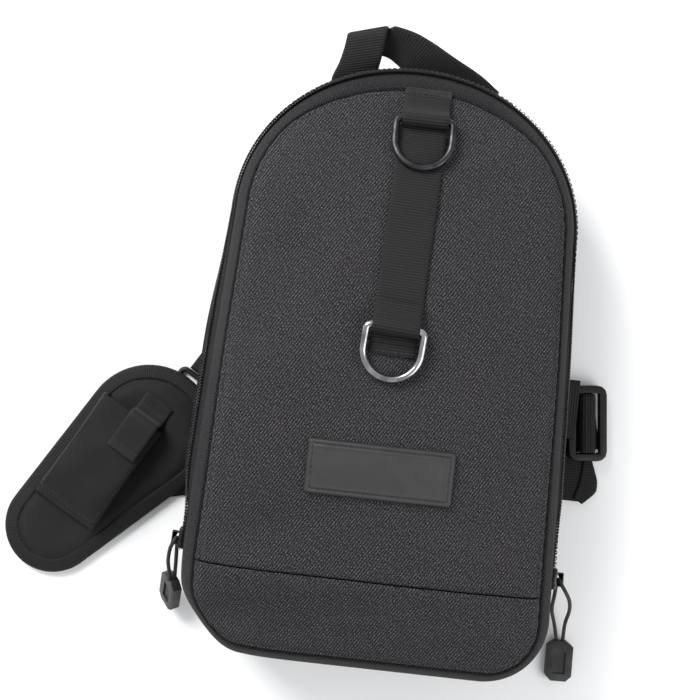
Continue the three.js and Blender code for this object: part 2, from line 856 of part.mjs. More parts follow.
const bindingSpace = bindingThickness + gap;
const padRows = [
  { inset: 1.6, height: 0 },
  { inset: 0, height: 0.2 },
  { inset: 0, height: 0.48 },
  { inset: 1.2, height: 0.66 },
  { inset: 6.5, height: 1 },
];
const padBody = loft(padRows.map((row) => padOutline(bindingSpace + row.inset, row.height * padThickness)));
const bindingOuter = loft([padOutline(0, 0), padOutline(0, padRimThickness)]);
const bindingInner = loft([padOutline(bindingThickness, -1), padOutline(bindingThickness, padRimThickness + 1)]);
const strapGrown = flatStrap(strapUnderUpper, gap).add(flatStrap(strapUnderLower, gap));
const underPad = caseGrown.add(strapGrown).add(padRingSpace);
add('shoulder_pad', padBody.subtract(underPad), 'padCloth');
add('pad_binding', bindingOuter.subtract(bindingInner).subtract(underPad), 'webbing');
add('pad_ring', padRing, 'plastic');

// Pocket on the pad: a boxy pouch, closed at its lower end, open at its mouth and against the pad
const pocketHolder = new THREE.Object3D();
pocketHolder.position.set(
  padWideX + pocketAlong * Math.cos(padTurn) - pocketAcross * Math.sin(padTurn),
  padWideY + pocketAlong * Math.sin(padTurn) + pocketAcross * Math.cos(padTurn),
  padThickness + gap,
);
pocketHolder.rotation.z = padTurn + pocketTurn;

const pocketRows = [
  { along: -0.5, height: 0.62 },
  { along: -0.44, height: 0.86 },
  { along: -0.2, height: 1 },
  { along: 0.5, height: 1 },
];

function pocketBlock(wall, base, mouth) {
  const rings = pocketRows.map((row, i) => {
    const end = i === pocketRows.length - 1 ? mouth : 0;
    const x = row.along * pocketLength + (i === 0 ? wall : 0) + end;
    const half = pocketWidth / 2 - wall;
    const top = row.height * pocketHeight - wall;
    return [
      vector(x, -half, base),
      vector(x, half, base),
      vector(x, half, top * 0.72),
      vector(x, half - 3, top),
      vector(x, -half + 3, top),
      vector(x, -half, top * 0.72),
    ];
  });
  return loft(rings);
}

const pocket = pocketBlock(0, 0, 0).subtract(pocketBlock(pocketWall, -1, 2));
add('pad_pocket', placed(pocket, pocketHolder), 'padCloth');

// Webbing tab sewn to the pad, over the pocket's mouth and down its face
function flap() {
  const mouth = pocketLength / 2;
  const seat = flapThickness / 2;
  const over = pocketHeight + gap + seat;
  const spots = [
    [mouth + flapSeat, seat],
    [mouth + flapSeat * 0.5, seat],
    [mouth + 4, seat + 2],
    [mouth + 2.4, over * 0.5],
    [mouth + 2, over - 1.6],
    [mouth - 0.4, over + 0.3],
    [mouth - 5, over],
    [mouth - flapDrop, over],
  ];
  const rows = spots.map(([x, z]) => ({
    centre: vector(x, flapAcross, z),
    wide: vector(0, 1, 0),
    width: flapWidth,
  }));
  return ribbon(rows, flapThickness);
}
add('pocket_flap', placed(flap(), pocketHolder), 'webbing');

// Right side: strap adjuster with the strap wrapped round its middle bar, its tab and the folded tail
function adjuster(grow = 0) {
  const outer = roundedRectangle(adjusterWidth / 2 + grow, adjusterHeight / 2 + grow, 6, 3);
  const flat = outer.map((point) => [point.x, point.y]);
  const body = slab(flat, -grow, adjusterThickness + grow);
  if (grow > 0) {
    return body;
  }
  const windowX = adjusterWidth / 2 - adjusterRim;
  const windowY = adjusterHeight / 2 - adjusterRim;
  const side = (sign) => {
    const edges = [sign * (adjusterBar / 2), sign * windowX].sort((a, b) => a - b);
    return box(edges[0], edges[1], -windowY, windowY, -1, adjusterThickness + 1);
  };
  const low = adjusterBar / 2;
  const middle = adjusterThickness / 2;
  const above = box(-windowX, windowX, -windowY, windowY, middle + low, adjusterThickness + 1);
  const below = box(-windowX, windowX, -windowY, windowY, -1, middle - low);
  return body.subtract(side(1)).subtract(side(-1)).subtract(above).subtract(below);
}

function strapWrap() {
  const half = strapWidth / 2;
  const middle = adjusterThickness / 2;
  const tall = adjusterThickness / 2 + 1;
  const outer = roundedRectangle(wrapWidth / 2, tall, 3, 3).map((point) => new THREE.Vector2(point.x, point.y));
  const shape = new THREE.Shape(outer);
  const room = adjusterBar / 2 + gap;
  shape.holes.push(new THREE.Path(roundedRectangle(room, room, 0.5, 2)
    .map((point) => new THREE.Vector2(point.x, point.y)).reverse()));
  const block = new THREE.ExtrudeGeometry(shape, { depth: 2 * half, bevelEnabled: false });
  const upright = new THREE.Matrix4().makeBasis(vector(1, 0, 0), vector(0, 0, 1), vector(0, -1, 0));
  upright.setPosition(0, half, middle);
  block.applyMatrix4(upright);
  return solidOf(block);
}

const adjusterHolder = new THREE.Object3D();
adjusterHolder.position.set(adjusterX, adjusterY, strapThickness + 1 + gap);
adjusterHolder.rotation.z = adjusterTurn;
add('strap_adjuster', placed(adjuster(), adjusterHolder), 'plastic');
add('strap_wrap', placed(strapWrap(), adjusterHolder), 'webbing');

const adjusterTop = strapThickness + 1 + gap + adjusterThickness;
const adjusterLeft = adjusterX - adjusterWidth / 2;
const tabShift = 8;
const tabRows = [
  { x: -15, z: 7 },
  { x: -8, z: 4.6 },
  { x: -1, z: 2.4 },
  { x: 4.4, z: 1.6 },
].map((row) => ({
  centre: vector(adjusterLeft + row.x, adjusterY + tabShift, adjusterTop + row.z),
  wide: vector(0, 1, 0),
  width: strapWidth,
}));
add('strap_tab', ribbon(tabRows, strapThickness).subtract(caseGrown), 'webbing');

const adjusterLow = adjusterY - adjusterHeight / 2;
const tailTop = adjusterLow + tailCover;
const tailLow = adjusterLow - tailDrop + tailCover;
const tailPoints = [
  [adjusterLeft - tailInner, tailTop],
  [adjusterLeft - tailInner, tailLow],
  [adjusterLeft + tailOuter, tailLow],
  [adjusterLeft + tailTip, tailLow + tailTipRise],
  [adjusterLeft + tailOuter, tailTop],
];
const adjusterGrown = placed(adjuster(gap), adjusterHolder);
add('strap_tail', slab(tailPoints, 0, tailThickness)
  .subtract(strapGrown).subtract(adjusterGrown).subtract(caseGrown), 'webbing');

export default bag;
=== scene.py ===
# %% [markdown]
# A sling bag for fishing tackle, lying on its back. This lesson dresses a plain
# model of it with cloth, webbing, a zip, rings and stitches. The plain model is
# loaded first, and every piece made here stands where that model says.

import json
import math

import bpy
import numpy as np
from mathutils import Matrix, Vector


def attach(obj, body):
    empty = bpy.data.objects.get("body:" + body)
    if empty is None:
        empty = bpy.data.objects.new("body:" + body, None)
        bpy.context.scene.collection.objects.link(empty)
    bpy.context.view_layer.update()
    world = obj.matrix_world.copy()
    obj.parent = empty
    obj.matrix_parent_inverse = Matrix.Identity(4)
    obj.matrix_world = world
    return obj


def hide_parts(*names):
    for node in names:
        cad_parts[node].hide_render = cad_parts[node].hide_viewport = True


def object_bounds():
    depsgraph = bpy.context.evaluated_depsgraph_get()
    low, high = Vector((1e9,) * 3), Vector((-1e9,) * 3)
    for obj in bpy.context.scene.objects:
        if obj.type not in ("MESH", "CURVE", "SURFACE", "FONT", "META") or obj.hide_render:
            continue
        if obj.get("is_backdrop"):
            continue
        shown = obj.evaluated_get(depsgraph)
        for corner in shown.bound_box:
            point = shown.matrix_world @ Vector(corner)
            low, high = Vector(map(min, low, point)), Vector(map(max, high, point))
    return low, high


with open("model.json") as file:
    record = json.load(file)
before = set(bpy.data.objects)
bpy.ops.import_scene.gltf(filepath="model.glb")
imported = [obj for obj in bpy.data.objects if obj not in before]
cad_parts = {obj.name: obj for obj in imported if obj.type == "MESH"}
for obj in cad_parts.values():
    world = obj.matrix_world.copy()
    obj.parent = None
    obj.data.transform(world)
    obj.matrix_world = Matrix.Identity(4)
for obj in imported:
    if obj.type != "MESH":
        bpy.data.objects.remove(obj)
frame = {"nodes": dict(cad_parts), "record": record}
cad_box = [list(corner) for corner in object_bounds()]
MM = 0.001
print("plain model", [[round(v / MM, 1) for v in corner] for corner in cad_box])

# %% [markdown]
# The photograph looks straight down on the bag, which lies a little turned. A
# camera on a stand over a table gives that view: it hangs 900 mm up, its field is
# what a portrait lens sees, and it is turned instead of the bag.

# %% Camera over the table
camera_height = 900
camera_x = -25
camera_y = 14.9
camera_turn = math.radians(6.3)
camera_data = bpy.data.cameras.new("camera")
camera_data.angle = 2 * math.atan(210 / 825)
camera = bpy.data.objects.new("camera", camera_data)
camera.location = Vector((camera_x, camera_y, camera_height)) * MM
camera.rotation_euler = (0, 0, camera_turn)
bpy.context.scene.collection.objects.link(camera)
bpy.context.scene.camera = camera
print("camera", camera_height, "mm up")

# %% [markdown]
# Colours are picked as they look on a screen, as sRGB hex values, and the shader
# wants them linear. One function does that. One more adds a node to a tree, sets
# it and links it, so that a material reads as a short list of steps.

# %% Colour and node helpers
def linear(hex_colour):
    channels = [int(hex_colour[i:i + 2], 16) / 255 for i in (1, 3, 5)]
    return [c / 12.92 if c <= 0.04045 else ((c + 0.055) / 1.055) ** 2.4 for c in channels] + [1]


def node(tree, kind, inputs=None, **settings):
    made = tree.nodes.new(kind)
    for name, value in settings.items():
        setattr(made, name, value)
    for socket, value in (inputs or {}).items():
        if isinstance(value, bpy.types.NodeSocket):
            tree.links.new(value, made.inputs[socket])
        else:
            made.inputs[socket].default_value = value
    return made


def maths(tree, operation, *values):
    return node(tree, "ShaderNodeMath", dict(enumerate(values)), operation=operation).outputs[0]


def blank_material(name, **shader_values):
    material = bpy.data.materials.new(name)
    material.use_nodes = True
    tree = material.node_tree
    tree.nodes.clear()
    shader = node(tree, "ShaderNodeBsdfPrincipled", shader_values)
    node(tree, "ShaderNodeOutputMaterial", {"Surface": shader.outputs[0]})
    return material, tree, shader


print("white is", linear("#ffffff"))

# %% [markdown]
# Woven cloth needs a pattern that follows the cloth and not the room. Each woven
# piece carries a UV map called weave, laid out in millimetres, so a thread is as
# wide on the side of the bag as on its front. The helper reads that map.

# %% Weave coordinates and colour mixing
def weave_axes(tree):
    uv = node(tree, "ShaderNodeUVMap", uv_map="weave")
    split = node(tree, "ShaderNodeSeparateXYZ", {0: uv.outputs[0]})
    return uv.outputs[0], split.outputs[0], split.outputs[1]


def wave(tree, place, pitch):
    turns = maths(tree, "MULTIPLY", place, 2 * math.pi / pitch)
    return maths(tree, "MULTIPLY_ADD", maths(tree, "SINE", turns), 0.5, 0.5)


def noise(tree, vector, size, detail=2.0, roughness=0.5):
    made = node(tree, "ShaderNodeTexNoise", {
        "Vector": vector, "Scale": 1 / size, "Detail": detail, "Roughness": roughness})
    return made.outputs[0]


def ramp(tree, value, low, high):
    made = node(tree, "ShaderNodeMapRange", {"Value": value, "From Min": low, "From Max": high})
    return made.outputs[0]


def blend_colours(tree, share, dark, light):
    made = node(tree, "ShaderNodeMix", data_type="RGBA")
    tree.links.new(share, made.inputs[0])
    for socket, value in ((6, dark), (7, light)):
        if isinstance(value, bpy.types.NodeSocket):
            tree.links.new(value, made.inputs[socket])
        else:
            made.inputs[socket].default_value = linear(value)
    return made.outputs[2]


def add_bump(tree, shader, height, depth_mm, strength=1.0):
    bump = node(tree, "ShaderNodeBump", {
        "Height": height, "Distance": depth_mm * MM, "Strength": strength})
    tree.links.new(bump.outputs[0], shader.inputs["Normal"])


print("weave maps are in millimetres")

# %% [markdown]
# The case is 600 denier polyester in a twill weave: heavy matt yarn that crosses
# in diagonal ridges. The eye gets a near black cloth with fine slanting lines and
# light specks where single filaments stand up. The real ridges are 0.8 mm apart,
# and they are drawn at 1.6 mm so that they still show in the picture.

# %% Polyester twill, heavy and matt
twill_pitch = 1.6
twill_lean = math.radians(58)


def twill_material(name, dark, light, speck, speck_share=0.7, ridge=0.6):
    material, tree, shader = blank_material(name, **{
        "Roughness": 0.85, "Specular IOR Level": 0.16, "Sheen Weight": 0.03, "Sheen Roughness": 0.45})
    uv, across, up = weave_axes(tree)
    lean_x, lean_y = math.sin(twill_lean), math.cos(twill_lean)
    over = maths(tree, "SUBTRACT", maths(tree, "MULTIPLY", across, lean_x), maths(tree, "MULTIPLY", up, lean_y))
    along = maths(tree, "ADD", maths(tree, "MULTIPLY", up, lean_x), maths(tree, "MULTIPLY", across, lean_y))
    wander = maths(tree, "MULTIPLY", noise(tree, uv, 9), 0.4)
    ridges = wave(tree, maths(tree, "ADD", over, wander), twill_pitch)
    steps = wave(tree, maths(tree, "ADD", along, maths(tree, "MULTIPLY", over, 0.6)), twill_pitch * 1.3)
    relief = maths(tree, "MULTIPLY_ADD", steps, 0.3, maths(tree, "MULTIPLY", ridges, ridge))
    strands = node(tree, "ShaderNodeCombineXYZ", {0: over, 1: maths(tree, "MULTIPLY", along, 0.45)}).outputs[0]
    fuzz = ramp(tree, noise(tree, strands, 0.5, 3.0, 0.75), 0.45, 0.75)
    filaments = maths(tree, "MULTIPLY", fuzz, maths(tree, "MULTIPLY_ADD", ridges, 0.9, 0.1))
    patches = ramp(tree, noise(tree, uv, 34, 3.0), 0.3, 0.75)
    base = blend_colours(tree, maths(tree, "MULTIPLY_ADD", patches, 0.25, maths(
        tree, "MULTIPLY", relief, 0.75)), dark, light)
    colour = blend_colours(tree, maths(tree, "MULTIPLY", filaments, speck_share), base, speck)
    tree.links.new(colour, shader.inputs["Base Color"])
    rough = maths(tree, "MULTIPLY_ADD", fuzz, -0.16, 0.9)
    tree.links.new(rough, shader.inputs["Roughness"])
    add_bump(tree, shader, maths(tree, "ADD", relief, maths(tree, "MULTIPLY", fuzz, 0.4)), 0.3)
    return material


case_twill = twill_material("polyester_twill_600d", "#040304", "#1c1a1d", "#a8a5aa", 0.6)
# The edge strip and rear wall are the case twill drawn darker, with fewer specks: painted shade on the steep sides.
shaded_edge_twill = twill_material("polyester_twill_edge_painted_shade", "#020202", "#151316", "#8c898f", 0.3)
back_mesh = twill_material("polyester_back_cloth", "#09090a", "#1d1c1e", "#4d4c50", 0.3, 0.3)
print("twill ridges", twill_pitch, "mm apart")

# %% [markdown]
# The shoulder pad wears a finer, smoother polyester: tight plain weave in thin
# yarn. The eye gets an even soft black with a faint sheen and barely any grain.

# %% Smooth polyester, plain weave
def smooth_cloth_material(name, dark, light, thread=0.7, sheen=0.06):
    material, tree, shader = blank_material(name, **{
        "Roughness": 0.72, "Specular IOR Level": 0.25, "Sheen Weight": sheen, "Sheen Roughness": 0.5})
    place = node(tree, "ShaderNodeTexCoord").outputs["Object"]
    split = node(tree, "ShaderNodeSeparateXYZ", {0: place})
    warp = wave(tree, maths(tree, "ADD", split.outputs[0], split.outputs[2]), thread * MM)
    weft = wave(tree, maths(tree, "ADD", split.outputs[1], split.outputs[2]), thread * MM)
    relief = maths(tree, "MULTIPLY", warp, weft)
    worn = ramp(tree, noise(tree, place, 22 * MM, 4.0), 0.3, 0.75)
    grain = noise(tree, place, 0.8 * MM, 3.0, 0.7)
    share = maths(tree, "MULTIPLY_ADD", worn, 0.5, maths(tree, "MULTIPLY", grain, 0.5))
    tree.links.new(blend_colours(tree, share, dark, light), shader.inputs["Base Color"])
    add_bump(tree, shader, maths(tree, "ADD", relief, grain), 0.1)
    return material


pad_cloth = smooth_cloth_material("polyester_plain_weave", "#0b0b0c", "#1a1a1b")
tab_cloth = smooth_cloth_material("polyester_tab_cloth", "#0e0e0f", "#222223", 0.9)
pocket_cloth = smooth_cloth_material("polyester_pouch_cloth", "#0a0a0b", "#1c1c1d", 0.8, 0.04)
print("smooth cloth done")

# %% [markdown]
# Webbing is polypropylene tape, woven thick so that it has ribs across its length
# and a firm edge. The eye gets close dark ribs with a soft grey top. It reads the
# weave map, where the first number runs along the tape.

# %% Ribbed polypropylene webbing
rib_pitch = 1.7
warp_pitch = 1.3


def webbing_material(name, dark, light, rib=rib_pitch, depth=0.28):
    material, tree, shader = blank_material(name, **{
        "Roughness": 0.7, "Specular IOR Level": 0.22, "Sheen Weight": 0.02})
    uv, length, across = weave_axes(tree)
    wander = maths(tree, "MULTIPLY", noise(tree, uv, 5), 0.5)
    ribs = wave(tree, maths(tree, "ADD", length, wander), rib)
    warps = wave(tree, across, warp_pitch)
    relief = maths(tree, "MULTIPLY_ADD", warps, 0.3, maths(tree, "MULTIPLY", ribs, 0.7))
    fibre = noise(tree, uv, 0.6, 3.0, 0.7)
    share = maths(tree, "MULTIPLY", relief, maths(tree, "MULTIPLY_ADD", fibre, 0.8, 0.35))
    tree.links.new(blend_colours(tree, share, dark, light), shader.inputs["Base Color"])
    add_bump(tree, shader, maths(tree, "ADD", relief, maths(tree, "MULTIPLY", fibre, 0.3)), depth)
    return material


webbing_cloth = webbing_material("polypropylene_webbing", "#070708", "#29292a")
binding_cloth = webbing_material("polypropylene_binding", "#070708", "#29292a", 1.7, 0.24)
print("webbing ribs", rib_pitch, "mm apart")

# %% [markdown]
# Zip tape is knitted in a herringbone, two slants that meet in a spine. Folding
# the distance across the tape about its middle turns one slant into that pattern.

# %% Herringbone zip tape
def herringbone_material(name, dark, light, spine=3.2):
    material, tree, shader = blank_material(name, **{"Roughness": 0.78, "Specular IOR Level": 0.2})
    uv, length, across = weave_axes(tree)
    folded = maths(tree, "PINGPONG", across, spine)
    slants = wave(tree, maths(tree, "ADD", length, folded), 1.1)
    fibre = noise(tree, uv, 0.7, 3.0)
    share = maths(tree, "MULTIPLY", slants, maths(tree, "MULTIPLY_ADD", fibre, 0.8, 0.3))
    tree.links.new(blend_colours(tree, share, dark, light), shader.inputs["Base Color"])
    add_bump(tree, shader, slants, 0.15)
    return material


zip_tape_cloth = herringbone_material("herringbone_zip_tape", "#0a0a0b", "#2c2c2e")
print("zip tape done")

# %% [markdown]
# Hard pieces get one helper. It gives a moulded or painted surface a grain of real
# size, a slow change of tone and a worn, lighter look where noise says hands rub.

# %% Moulded and painted finishes
def hard_material(name, dark, light, roughness, metallic=0.0, grain_mm=0.6, depth=0.05, ior=1.5):
    material, tree, shader = blank_material(name, **{
        "Roughness": roughness, "Metallic": metallic, "IOR": ior})
    place = node(tree, "ShaderNodeTexCoord").outputs["Object"]
    grain = noise(tree, place, grain_mm * MM, 2.0)
    rubbed = ramp(tree, noise(tree, place, 9 * MM, 3.0), 0.35, 0.7)
    tree.links.new(blend_colours(tree, rubbed, dark, light), shader.inputs["Base Color"])
    rough = maths(tree, "MULTIPLY_ADD", rubbed, -0.12, roughness + 0.06)
    tree.links.new(rough, shader.inputs["Roughness"])
    add_bump(tree, shader, grain, depth)
    return material


# Nylon coil: glossy yarn wound to teeth, so each tooth has a small bright glint.
nylon_coil = hard_material("nylon_coil", "#1a1a1c", "#38383b", 0.32, 0, 0.4, 0.02, 1.42)
# Painted zinc: a slider cast in zinc and painted black, smooth with rubbed edges.
painted_zinc = hard_material("painted_zinc", "#0b0b0c", "#232426", 0.3, 0, 0.5, 0.02)
# Black nickel: round steel wire plated dark, a metal with a soft broad glint.
black_nickel = hard_material("black_nickel_wire", "#2f3032", "#505154", 0.4, 1.0, 0.5, 0.01)
# The lower ring is the same wire drawn lighter and glossier: a painted highlight where it catches the light.
painted_highlight_nickel = hard_material("nickel_wire_painted_highlight", "#85868a", "#c4c5c8", 0.17, 1.0, 0.5, 0.01)
# PVC rubber: a soft moulded badge, matt with a fine even grain.
pvc_rubber = hard_material("pvc_rubber", "#252526", "#29292a", 0.6, 0, 0.5, 0.04)
# Acetal: tough moulded plastic of buckles, black with a satin face.
acetal = hard_material("black_acetal", "#08080a", "#151617", 0.46, 0, 0.5, 0.03, 1.38)
# Soft vinyl: the grippy grey of zip pulls.
pull_vinyl = hard_material("soft_vinyl_pull", "#19191b", "#2b2b2d", 0.5, 0, 0.6, 0.05, 1.45)
# Spun polyester thread: thin, dull and a little lighter than the cloth.
thread = hard_material("spun_polyester_thread", "#232224", "#3a393b", 0.75, 0, 0.3, 0.05, 1.35)
print("hard finishes done")

# %% [markdown]
# Cord for the pulls is braided: yarns wind round it both ways. On the weave map of
# a tube the two windings are two slanted waves, and their product is the braid.

# %% Braided cord
def braid_material(name, dark, light, pitch=1.5):
    material, tree, shader = blank_material(name, **{"Roughness": 0.75, "Specular IOR Level": 0.25})
    uv, length, around = weave_axes(tree)
    one = wave(tree, maths(tree, "ADD", length, around), pitch)
    two = wave(tree, maths(tree, "SUBTRACT", length, around), pitch)
    relief = maths(tree, "MAXIMUM", one, two)
    fibre = noise(tree, uv, 0.4, 2.0)
    share = maths(tree, "MULTIPLY", relief, maths(tree, "MULTIPLY_ADD", fibre, 0.7, 0.4))
    tree.links.new(blend_colours(tree, share, dark, light), shader.inputs["Base Color"])
    add_bump(tree, shader, relief, 0.2)
    return material


cord_braid = braid_material("braided_cord", "#12110f", "#4a4842")
print("braid done")

# %% [markdown]
# Every shape below is a grid of points bent into place. The helper turns such a
# grid into a mesh with its weave map. A ring, such as a tube, joins its last
# column to its first, and a solid strip also closes its two ends.

# %% Grid meshes
def unit(vectors):
    return vectors / np.maximum(np.linalg.norm(vectors, axis=-1, keepdims=True), 1e-12)


def grid_piece(name, points, weave, material, ring=False, ends=False, flip=False):
    rows, columns = points.shape[:2]
    faces = []
    corners = []
    for r in range(rows - 1):
        for c in range(columns if ring else columns - 1):
            after = (c + 1) % columns
            face = [r * columns + c, r * columns + after, (r + 1) * columns + after, (r + 1) * columns + c]
            corner = [(r, c), (r, c + 1), (r + 1, c + 1), (r + 1, c)]
            faces.append(face[::-1] if flip else face)
            corners.extend(corner[::-1] if flip else corner)
    if ends:
        for r, turned in ((0, not flip), (rows - 1, flip)):
            order = list(range(columns))
            order = order[::-1] if turned else order
            faces.append([r * columns + c for c in order])
            corners.extend((r, c) for c in order)
    mesh = bpy.data.meshes.new(name)
    mesh.from_pydata((points.reshape(-1, 3) * MM).tolist(), [], faces)
    layer = mesh.uv_layers.new(name="weave")
    index = np.array(corners)
    layer.data.foreach_set("uv", weave[index[:, 0], index[:, 1]].ravel())
    mesh.materials.append(material)
    mesh.polygons.foreach_set("use_smooth", [True] * len(mesh.polygons))
    mesh.update()
    made = bpy.data.objects.new(name, mesh)
    bpy.context.scene.collection.objects.link(made)
    return made


def grid_normals(points, ring=False):
    if ring:
        around = np.roll(points, -1, axis=1) - np.roll(points, 1, axis=1)
    else:
        around = np.gradient(points, axis=1)
    return unit(np.cross(around, np.gradient(points, axis=0)))


def keep(piece, body, slot, *nodes):
    if nodes:
        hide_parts(*nodes)
    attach(piece, body)
    print(piece.name, len(piece.data.vertices), "points")
    return piece


def wall(piece, thickness, inwards=True):
    made = piece.modifiers.new("wall", "SOLIDIFY")
    made.thickness = thickness * MM
    made.offset = -1 if inwards else 1
    return piece


print("grid helpers ready")

# %% [markdown]
# A smooth line through a few chosen points keeps the list of numbers short. This
# one is a centripetal Catmull-Rom curve, which passes through every point without
# loops, and it is then cut into equal steps.

# %% Smooth lines and tables
def spline(points, steps):
    points = np.array(points, float)
    first = 2 * points[0] - points[1]
    last = 2 * points[-1] - points[-2]
    full = np.vstack([first, points, last])
    pieces = []
    for i in range(len(points) - 1):
        p = full[i:i + 4]
        t = np.concatenate([[0], np.cumsum(np.linalg.norm(np.diff(p, axis=0), axis=1) ** 0.5 + 1e-9)])
        s = np.linspace(t[1], t[2], 24, endpoint=False)[:, None]
        a = [(t[k + 1] - s) / (t[k + 1] - t[k]) * p[k] + (s - t[k]) / (t[k + 1] - t[k]) * p[k + 1]
             for k in range(3)]
        b = [(t[k + 2] - s) / (t[k + 2] - t[k]) * a[k] + (s - t[k]) / (t[k + 2] - t[k]) * a[k + 1]
             for k in range(2)]
        pieces.append((t[2] - s) / (t[2] - t[1]) * b[0] + (s - t[1]) / (t[2] - t[1]) * b[1])
    dense = np.vstack(pieces + [points[-1:]])
    reach = np.concatenate([[0], np.cumsum(np.linalg.norm(np.diff(dense, axis=0), axis=1))])
    wanted = np.linspace(0, reach[-1], steps + 1)
    return np.stack([np.interp(wanted, reach, dense[:, k]) for k in range(dense.shape[1])], axis=1)


def smooth_table(places, values, blur):
    dense = np.linspace(min(places) - 3 * blur, max(places) + 3 * blur, 1200)
    raw = np.interp(dense, places, values)
    spread = np.arange(-3 * blur, 3 * blur, dense[1] - dense[0])
    weights = np.exp(-(spread / blur) ** 2)
    soft = np.convolve(np.pad(raw, len(weights) // 2, mode="edge"), weights / weights.sum(), mode="same")
    soft = soft[len(weights) // 2:len(weights) // 2 + len(dense)]
    return lambda place: np.interp(place, dense, soft)


def ease(low, high, place):
    share = np.clip((np.asarray(place, float) - low) / (high - low), 0, 1)
    return share * share * (3 - 2 * share)


print("a spline of four points has", len(spline([(0, 0, 0), (1, 0, 0), (2, 1, 0), (3, 1, 0)], 10)), "steps")

# %% [markdown]
# A tube follows a line with a round section. Its frame is carried along without
# twisting, as a cord's own fibres are.

# %% Tubes
def frames_along(line, closed=False):
    if closed:
        forward = unit(np.roll(line, -1, axis=0) - np.roll(line, 1, axis=0))
    else:
        forward = unit(np.gradient(line, axis=0))
    side = np.zeros_like(forward)
    start = np.cross(forward[0], [0.13, 0.21, 0.97])
    side[0] = start / np.linalg.norm(start)
    for i in range(1, len(line)):
        carried = side[i - 1] - forward[i] * side[i - 1].dot(forward[i])
        side[i] = carried / np.linalg.norm(carried)
    return forward, side, np.cross(forward, side)


def tube(name, line, radius, material, sides=14, closed=False):
    line = np.array(line, float)
    if closed:
        line = np.vstack([line, line[:1]])
    forward, side, up = frames_along(line)
    if closed:
        forward[-1], side[-1], up[-1] = forward[0], side[0], up[0]
    angles = np.linspace(0, 2 * np.pi, sides, endpoint=False)
    spread = np.broadcast_to(np.asarray(radius, float), (len(line),))[:, None, None]
    ring = side[:, None] * np.cos(angles)[None, :, None] + up[:, None] * np.sin(angles)[None, :, None]
    points = line[:, None] + ring * spread
    reach = np.concatenate([[0], np.cumsum(np.linalg.norm(np.diff(line, axis=0), axis=1))])
    around = np.arange(sides + 1) / sides * 2 * np.pi * float(np.max(radius))
    weave = np.stack(np.broadcast_arrays(reach[:, None], around[None]), axis=-1)
    return grid_piece(name, points, weave, material, ring=True, ends=not closed)


print("tubes ready")

# %% [markdown]
# The two zip pulls hang on loops of cord. Each loop leaves its pull, passes
# through the slider's eye and comes back. Cords are made first because their
# length is a fact of the object, and the rest is fitted round them.

# %% Cord loops
seat_x = 114.86
cord_diameter = 2.4
cord_route_right = [
    (129.6, -158.6, 3.2), (126, -147, 9), (121.5, -136, 21), (119.6, -124, 36),
    (119.1, -115.5, 43), (119.1, -112.2, 48), (119.8, -113.6, 53), (122.8, -118, 53.4),
    (127.5, -124.5, 44), (131.6, -134, 27), (132.8, -147, 9), (133.6, -158.6, 3.2)]
cord_route_left = [
    (-120.4, -143.4, 22), (-119.6, -135, 30.6), (-119.1, -124, 38.6), (-119.1, -115.5, 43.4),
    (-119.1, -112.2, 48), (-119.8, -113.6, 52.6), (-121.6, -118, 52), (-123.2, -127, 44),
    (-123.2, -135, 34), (-122.8, -143.4, 24.4)]
cords = {}
for side_name, route in (("right", cord_route_right), ("left", cord_route_left)):
    line = spline(route, 110)
    length = np.linalg.norm(np.diff(line, axis=0), axis=1).sum()
    cord = tube(f"pull_cord_{side_name}", line, cord_diameter / 2, cord_braid, 12)
    cords[side_name] = (cord, line, length)
    print("cord", side_name, round(length, 1), "mm long")

# %% [markdown]
# The case is a long rounded loaf. Its outline has a round arch at the top, sides
# that widen downwards and round lower corners. The front swells up from the zip.
# These are the plain model's own sizes, smoothed, so cloth and model agree.

# %% Outline of the case
bottom_y = -178.5
top_y = 188.5
bag_length = top_y - bottom_y
arch_rise = 94
arch_power = 2.05
shoulder_y = top_y - arch_rise
shoulder_half = 104
bottom_half = 116.5
corner_radius = 42
bag_depth = 104
zip_height = 48
front_round = 78
rear_round = 26
lower_seam_y = -119


def half_width(y, inset):
    y, inset = np.broadcast_arrays(np.asarray(y, float), np.asarray(inset, float))
    rise = arch_rise - inset
    share = np.clip((y - shoulder_y) / rise, 0, 1)
    arch = (shoulder_half - inset) * (1 - share ** arch_power) ** (1 / arch_power)
    down = (shoulder_y - y) / (shoulder_y - bottom_y)
    straight = shoulder_half + (bottom_half - shoulder_half) * down - inset
    radius = np.maximum(corner_radius - inset, 4)
    below = np.clip(bottom_y + inset + radius - y, 0, radius)
    low = straight - radius + np.sqrt(radius ** 2 - below ** 2)
    outside = (y <= bottom_y + inset) | (y >= shoulder_y + rise)
    return np.where(outside, 0, np.where(y > shoulder_y, arch, low))


def inset_at(x, y):
    low = np.zeros_like(np.asarray(x, float))
    high = low + front_round
    for _ in range(24):
        middle = (low + high) / 2
        inside = half_width(y, middle) > np.abs(x)
        low = np.where(inside, middle, low)
        high = np.where(inside, high, middle)
    return (low + high) / 2


print("widest", round(2 * float(half_width(-130, 0)), 1), "mm")

# %% [markdown]
# The height of the front is a crest along the bag times a rise in from the edge,
# less a few soft dents where the cloth has sunk. Slow waves and one deeper fold
# at the lower left corner are added, because empty cloth never lies quite fair.

